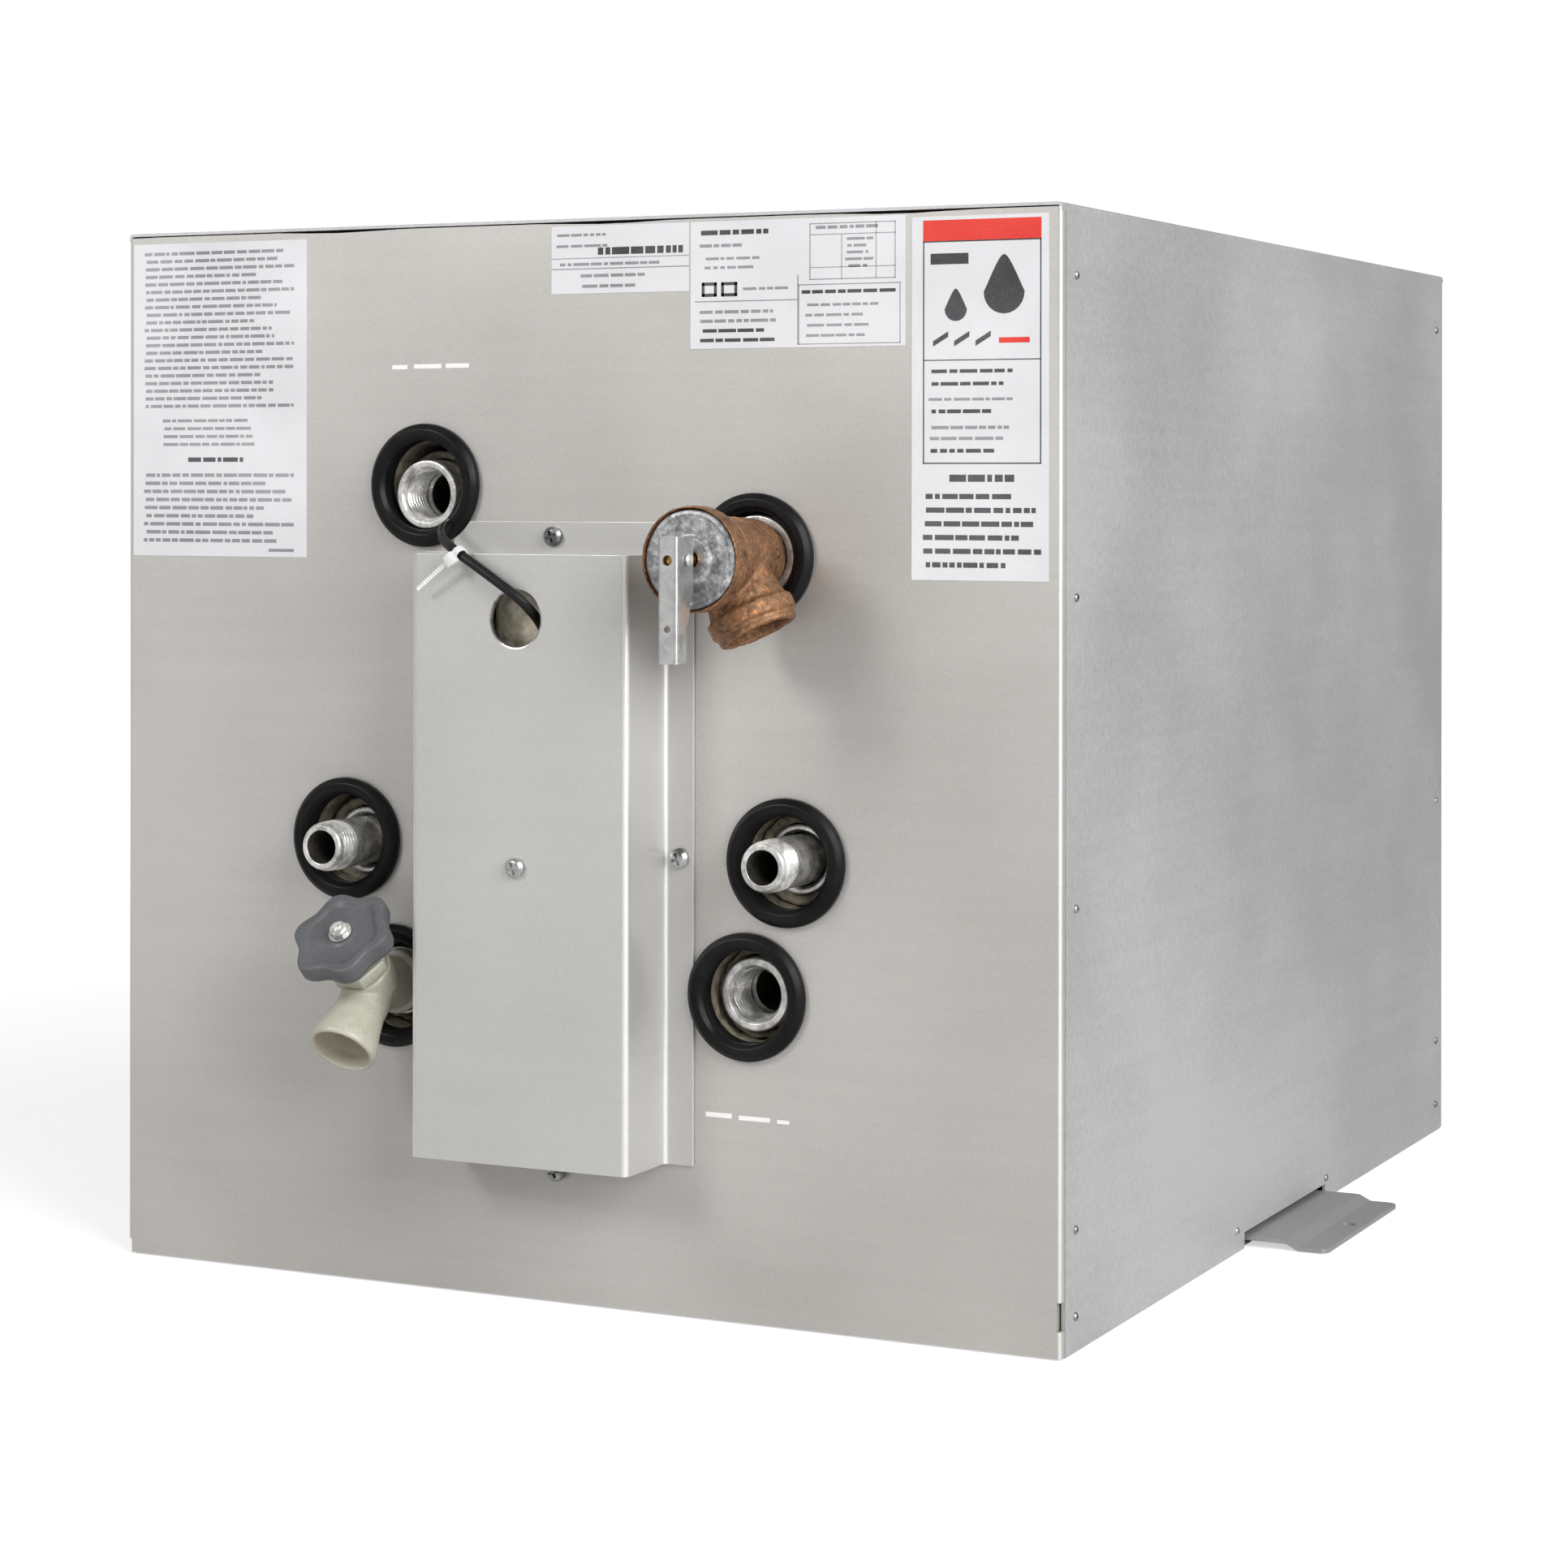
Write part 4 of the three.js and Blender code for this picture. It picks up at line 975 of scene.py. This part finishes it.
def relief_spring():
    """The coil between the stem's collar and the cap, built at rest; in the real valve it shortens as the
    stem moves out.
    """
    turns, per_turn = 6, 14
    start, end = 15.8, 48.4
    coil_r = 7.4
    points = []
    for k in range(turns * per_turn + 1):
        angle = math.tau * k / per_turn
        out = start + (end - start) * k / (turns * per_turn)
        points.append(RELIEF + Vector((coil_r * math.cos(angle), -out, coil_r * math.sin(angle))))
    piece = placed(tube("relief_spring_coil", points, 0.95, 4), "case", "threaded_steel", "relief_spring")
    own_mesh(piece)


# ---- Drain valve ----
DRAIN = Vector((-76, FRONT, 119))
DRAIN_MID = DRAIN + Vector((0, -17, 0.6))  # where the spindle's and the spout's axes meet
DRAIN_PITCH = 2.0


def drain_body():
    """Inlet, seat and spout as one casting, with the waterway cut through it."""
    inlet = [
        (0, -20), (9.2, -20), (9.2, -3.6), (12.6, -3.6, 0.5),
        (12.6, 1.4, 0.6), (10.4, 2.6, 1), (10.4, 17), (0, 17),
    ]
    seat = [(0, 0), (11.3, 0), (11.3, 9.6, 0.8), (10.6, 10.4, 0.3), (7.7, 10.4, 0.3), (7.7, 3), (0, 3)]
    spout = [
        (0, 0), (10.2, 0), (10, 13, 6), (11.2, 20, 8), (13.2, 27.4, 2), (13.5, 30.2, 1.2), (12.9, 32, 0.8),
        (11.5, 31.6, 0.6), (10.9, 26, 3), (6.5, 16), (0, 15),
    ]
    shells = [
        lathe("inlet", inlet, DRAIN, OUT, 64), lathe("seat", seat, DRAIN_MID, SPINDLE, 64),
        lathe("spout", spout, DRAIN_MID, SPOUT, 64),
    ]
    piece = remeshed(merged("drain_valve_body", shells), 0.45)
    waterway = [
        rod(5, -25, 17, DRAIN, OUT), rod(7.6, -1, 12, DRAIN_MID, SPINDLE), rod(6, 0, 22, DRAIN_MID, SPOUT),
    ]
    placed(cut(piece, waterway), "case", "cream_plastic", "drain_body")


def drain_bonnet():
    nut = [(7.2, 10.7), (11.2, 10.7, 0.3), (12.1, 11.6), (12.1, 15.2), (11.2, 16.2, 0.3), (7.2, 16.2)]
    hexagon = lathe("nut", nut, DRAIN_MID, SPINDLE, 6, smooth=20)
    neck = [(4.3, 6.5), (7, 6.5), (7, 18, 0.8), (6, 18.6, 0.4), (4.3, 18.6, 0.3)]
    shells = [eased_edges(hexagon, 0.5, 3), lathe("neck", neck, DRAIN_MID, SPINDLE, 48)]
    placed(merged("drain_bonnet_nut", shells), "case", "cream_plastic", "drain_bonnet")


def drain_stem():
    wall = threads(3, 24.4, 3.5, 3.5, DRAIN_PITCH)
    profile = [
        (0, -2), (3, -2, 0.3), (3, 1.6), (5.8, 1.6), (5.8, 1.9), (3.5, 1.9), *wall,
        (3, 24.8), (3, 30.4, 0.3), (0, 30.4),
    ]
    wave = thread_wave(3, 24.4, DRAIN_PITCH, 0.45, 1, (3.4, 3.6))
    stem = lathe("drain_stem_screw", profile, DRAIN_MID, SPINDLE, 48, wave)
    placed(stem, "drain_stem", "white_nylon", "drain_stem")


def drain_handwheel():
    """A dished wheel whose rim swells out in six lobes."""
    rim = 19.3

    def lobes(r, s, angle):
        share = min(1, max(0, (r - 11) / 7))
        return r + 1.55 * share * math.cos(6 * angle)

    profile = [
        (2, 30.7), (2, 32.2, 0.2), (5.2, 32.2, 0.4), (6.2, 31.7, 0.4), (13.6, 31.7, 0.8), (15.4, 32.9, 0.7),
        (rim - 0.4, 32.9, 1.6), (rim, 30.4, 2.2), (rim, 26.4, 1), (rim - 0.7, 24.9, 0.7), (17.1, 24.9, 0.4),
        (16.4, 29.9, 0.8), (6.2, 29.9, 0.8), (5.8, 24.9, 0.5), (3.4, 24.9, 0.3), (3.4, 30.7),
    ]
    wheel = lathe("drain_wheel_rim", profile, DRAIN_MID, SPINDLE, 144, lobes)
    placed(wheel, "drain_handwheel", "grey_plastic", "drain_handwheel")


def drain_wheel_screw():
    washer_ring = [(1.4, 32.4), (4.6, 32.4, 0.2), (4.6, 33.2, 0.2), (1.4, 33.2)]
    outline = [
        (0, 24), (1.3, 25), (1.3, 33.2), (3.9, 33.2, 0.2), (3.9, 34.9, 0.5),
        (3.2, 35.8, 0.4), (1.9, 35.8, 0.1), (1.5, 34.2), (0, 34.2),
    ]
    washer = lathe("washer", washer_ring, DRAIN_MID, SPINDLE, 48)
    head = lathe("head", outline, DRAIN_MID, SPINDLE, 8, smooth=20)
    piece = merged("drain_wheel_screw_head", [washer, head])
    placed(eased_edges(piece, 0.18), "drain_handwheel", "threaded_steel", "drain_wheel_screw")


# ---- Stickers ----
STICKER_T = 0.16
STICKERS = {  # (x0, z0, x1, z1) on the front panel
    "label_left": (-202, 285.5, -118, 412.5),
    "label_small": (-6, 388, 53.6, 414),
    "label_rating": (54.2, 366, 143, 414),
    "label_right": (145.5, 280, 199.5, 413),
}


def flat_piece(name, shapes, lift, look, slot="white_nylon", thick=0.03):
    """Thin raised shapes on the front panel: rectangles (x0, z0, x1, z1), or lists of (x, z) corners."""
    points, faces = [], []
    for shape in shapes:
        corners = shape
        if len(shape) == 4 and not isinstance(shape[0], tuple):
            x0, z0, x1, z1 = shape
            corners = [(x0, z0), (x1, z0), (x1, z1), (x0, z1)]
        base, n = len(points), len(corners)
        for y in (FRONT - lift - thick, FRONT - lift):
            points += [(x, y, z) for x, z in corners]
        faces.append(tuple(range(base, base + n)))
        faces.append(tuple(range(base + n, base + 2 * n)))
        faces += [(base + k, base + (k + 1) % n, base + n + (k + 1) % n, base + n + k) for k in range(n)]
    piece = mesh_piece(name, points, faces, 20)
    return placed(piece, "case", slot, look=look)


def rows(x0, x1, z_top, count, pitch, height, seed, fill):
    """Rows of short bars that stand for print."""
    rng = random.Random(seed)
    bars = []
    for k in range(count):
        z = z_top - k * pitch
        x = x0 + rng.uniform(0, 1.5)
        stop = x0 + (x1 - x0) * min(1, fill * rng.uniform(0.75, 1.12))
        while x < stop - 1:
            width = min(rng.uniform(1.6, 7.5), stop - x)
            bars.append((x, z - height, x + width, z))
            x += width + rng.uniform(0.6, 1.1)
    return bars


def frame_lines(x0, z0, x1, z1, width):
    return [
        (x0, z0, x1, z0 + width), (x0, z1 - width, x1, z1),
        (x0, z0, x0 + width, z1), (x1 - width, z0, x1, z1),
    ]


def drop(x, z, r, sides=24):
    """A water drop: round below, pointed above."""
    points = []
    for k in range(sides):
        angle = math.tau * k / sides
        up = math.sin(angle)
        narrow = 1 - 0.55 * max(0, up) ** 0.8
        points.append((x + r * narrow * math.cos(angle), z + r * (up * (1.7 if up > 0 else 1))))
    return points


def label_sheets():
    for name, box in STICKERS.items():
        flat_piece(name, [box], 0.05, "sticker", thick=STICKER_T - 0.05)


def print_left(dark, faint):
    faint += rows(-197, -124, 409, 21, 3.1, 1.3, 3, 0.98)
    faint += rows(-188, -132, 341, 4, 3.2, 1.2, 4, 0.95)
    dark += rows(-176, -146, 325.5, 1, 3, 1.8, 5, 0.9)
    faint += rows(-197, -124, 319, 9, 3.3, 1.4, 6, 0.95)
    faint += [(-136, 287.6, -124, 288.8)]


def print_small(dark, faint):
    faint += rows(-4, 50, 411, 2, 4.2, 1.0, 7, 0.5)
    dark += rows(14, 51, 405.5, 1, 4, 2.8, 8, 0.95)
    faint += rows(-3, 50, 399.8, 1, 3, 1.1, 9, 0.95)
    faint += rows(6, 46, 395.4, 2, 4, 1.2, 10, 0.8)
    faint += [(-6, 397.3, 53.6, 397.7), (-6, 401.4, 53.6, 401.7)]


def print_rating(dark, faint):
    dark += rows(58, 92, 410.6, 1, 3, 1.8, 11, 0.95)
    faint += rows(58, 84, 405.4, 1, 3, 1.2, 28, 0.95)
    faint += rows(60, 86, 400.4, 2, 3.4, 1.0, 12, 0.9)
    dark += frame_lines(59, 385.6, 65.4, 391, 1.2) + frame_lines(67.2, 385.6, 74, 391, 1.2)
    faint += rows(76, 96, 388.8, 1, 3, 1.0, 13, 0.95)
    faint += rows(58, 94, 380.4, 2, 3.4, 1.2, 14, 0.85)
    dark += rows(58, 96, 373.4, 2, 3.6, 1.3, 15, 0.95)
    faint += [(99, 367, 99.4, 393), (56, 383.6, 99, 384)]
    faint += frame_lines(104, 391, 139, 412, 0.35) + [(104, 407.6, 139, 407.9), (104, 395.4, 139, 395.7)]
    faint += [(117, 391, 117.3, 407.6), (131, 391, 131.3, 412)]
    faint += rows(106, 137, 411, 1, 3, 1.2, 16, 0.9) + rows(118.5, 130, 406.4, 5, 2.5, 1.0, 17, 0.95)
    dark += rows(100.5, 140, 387.2, 1, 3, 1.3, 18, 0.98)
    faint += rows(102, 138, 382.2, 4, 3.8, 1.0, 19, 0.85) + frame_lines(99.4, 367, 141, 389.4, 0.35)


def print_right(dark, faint, red):
    x0, x1 = 150, 196.5
    red += [(x0, 404, x1, 411.6), (180, 366.4, 192, 368.4)]
    dark += frame_lines(x0, 322.5, x1, 404, 0.5) + [(x0, 360.2, x1, 360.6)]
    dark += [drop(182, 385, 8), drop(163, 379, 4.4)]
    dark += [(153, 395.4, 168, 399.4)]
    for k in range(3):
        left = 154 + 8.4 * k
        dark.append([(left, 365.4), (left + 6, 368.9), (left + 6, 370.9), (left, 367.4)])
    dark += rows(x0 + 2, x1 - 3, 357, 2, 4.6, 1.3, 20, 0.8)
    faint += rows(x0 + 2, x1 - 3, 346.6, 1, 4, 1.0, 21, 0.8)
    dark += rows(x0 + 2, x1 - 3, 342.4, 1, 4, 1.4, 22, 0.75)
    faint += rows(x0 + 2, x1 - 3, 336.4, 2, 4, 1.2, 23, 0.7)
    dark += rows(x0 + 2, x1 - 3, 328.0, 1, 4, 1.4, 24, 0.6)
    dark += rows(160, 186, 318.6, 1, 4, 2.6, 25, 0.98)
    dark += rows(x0, x1, 311.6, 6, 5, 1.9, 26, 0.92)


def label_print():
    """Bars, rules and plain shapes where the stickers have print, and the white marks by two ports."""
    lift = STICKER_T + 0.01
    dark, faint, red = [], [], []
    print_left(dark, faint)
    print_small(dark, faint)
    print_rating(dark, faint)
    print_right(dark, faint, red)
    flat_piece("label_print_dark", dark, lift, "ink", "black_plastic")
    flat_piece("label_print_faint", faint, lift, "faint_ink", "grey_plastic")
    flat_piece("label_print_red", red, lift, "red_ink", "red_plastic")
    marks = [(-78, 360, -71, 361.7), (-68, 360.2, -55.5, 361.9), (-53.5, 360.3, -43, 362.0)]
    marks += [(61, 76.6, 72, 78.4), (75, 76.3, 88, 78.0), (91, 76.2, 96, 77.6)]
    flat_piece("port_marks", marks, 0.02, "white_ink")


# ---- Studio ----
WHITE = (1, 1, 1, 1)
SURROUND_LIGHT = 0.37  # the surround's strength for the object's light
SURROUND_SEEN = 1.05  # and for the camera
FLOOR_TONES = (0.6, 0.63)
GLOW_REACH = (0.45, 1.7)  # metres from the middle, over which the floor's glow grows
GLOW = (0.58, 1.0)  # the glow's strength at those two distances, for the camera only
LAMPS = [  # name, place, aim, size in metres, watts
    ("key", (-0.95, -1.9, 1.25), (0, -0.25, 0.2), 0.6, 17),
    ("side", (2.5, -1.5, 1.5), (0.2, -0.1, 0.3), 1.8, 97),
]
LENS = 81.1  # the camera as solved from the photograph's straight edges
LENS_SHIFT = -0.193
EYE = (0.66598, -1.44428, 0.31608)
EYE_TURN = (90, -0.07, 25.743)  # degrees


def carried_over():
    """CAD nodes that stay in sight or inside get their slot's look."""
    slots = {entry["node"]: entry["material_slot"] for entry in frame["record"]["subparts"]}
    for name, node in frame["nodes"].items():
        node.data.materials.clear()
        node.data.materials.append(LOOKS[slots[name]])


def for_camera(nodes):
    """1 for what the camera sees directly, 0 for the light that reaches the object."""
    return nodes.new("ShaderNodeLightPath").outputs["Is Camera Ray"]


def backdrop():
    """A white surround that lights the object with about a third of the brightness that the camera sees."""
    world = bpy.data.worlds.new("studio")
    world.use_nodes = True
    nodes, links = world.node_tree.nodes, world.node_tree.links
    soft = nodes["Background"]
    tuned(soft, Color=WHITE, Strength=SURROUND_LIGHT)
    seen = nodes.new("ShaderNodeBackground")
    tuned(seen, Color=WHITE, Strength=SURROUND_SEEN)
    mix = nodes.new("ShaderNodeMixShader")
    links.new(for_camera(nodes), mix.inputs["Fac"])
    links.new(soft.outputs["Background"], mix.inputs[1])
    links.new(seen.outputs["Background"], mix.inputs[2])
    links.new(mix.outputs["Shader"], nodes["World Output"].inputs["Surface"])
    bpy.context.scene.world = world


def floor_glow(paint):
    """The floor whitens away from the object, for the camera only."""
    away = paint.nodes.new("ShaderNodeVectorMath")
    away.operation = "LENGTH"
    paint.links.new(paint.where, away.inputs[0])
    glow = paint.nodes.new("ShaderNodeMath")
    glow.operation = "MULTIPLY"
    paint.links.new(paint.spread(away.outputs["Value"], GLOW_REACH, GLOW), glow.inputs[0])
    paint.links.new(for_camera(paint.nodes), glow.inputs[1])
    paint.links.new(glow.outputs["Value"], paint.shader.inputs["Emission Strength"])


def studio_floor():
    floor = block((-6000, -6000, -1.4), (6000, 6000, -0.4), "floor")
    paint = Finish("floor_paint")
    dark, light = ((tone, tone, tone, 1) for tone in FLOOR_TONES)
    paint.colour(paint.ramp(paint.noise(3, 2), [(0.3, dark), (0.7, light)]))
    tuned(paint.shader, Roughness=0.9, Emission_Color=WHITE)
    floor.data.materials.append(paint.material)
    floor_glow(paint)


def lamp(name, place, aim, size, power):
    light = bpy.data.lights.new(name, "AREA")
    light.size = size
    light.energy = power
    holder = linked(name, light)
    holder.location = place
    holder.rotation_euler = (Vector(aim) - Vector(place)).to_track_quat("-Z", "Y").to_euler()


def studio():
    studio_floor()
    backdrop()
    bpy.context.scene.view_settings.view_transform = "Standard"
    for values in LAMPS:
        lamp(*values)


def camera():
    data = bpy.data.cameras.new("camera")
    data.lens = LENS
    data.sensor_width = 36
    data.shift_y = LENS_SHIFT
    data.clip_end = 50
    eye = linked("camera", data)
    eye.location = EYE
    eye.rotation_euler = tuple(math.radians(turn) for turn in EYE_TURN)
    bpy.context.scene.camera = eye


camera()
carried_over()
front_panel()
back_panel()
wrap()
base_pan()
case_screws()
ports()
terminal_cover()
fibre_bulge()
fibre_collars()
cover_screws()
sensor_lead()
cable_tie()
relief_body()
relief_cap()
relief_stem()
relief_pin()
relief_lever()
relief_spring()
drain_body()
drain_bonnet()
drain_stem()
drain_handwheel()
drain_wheel_screw()
label_sheets()
label_print()
studio()
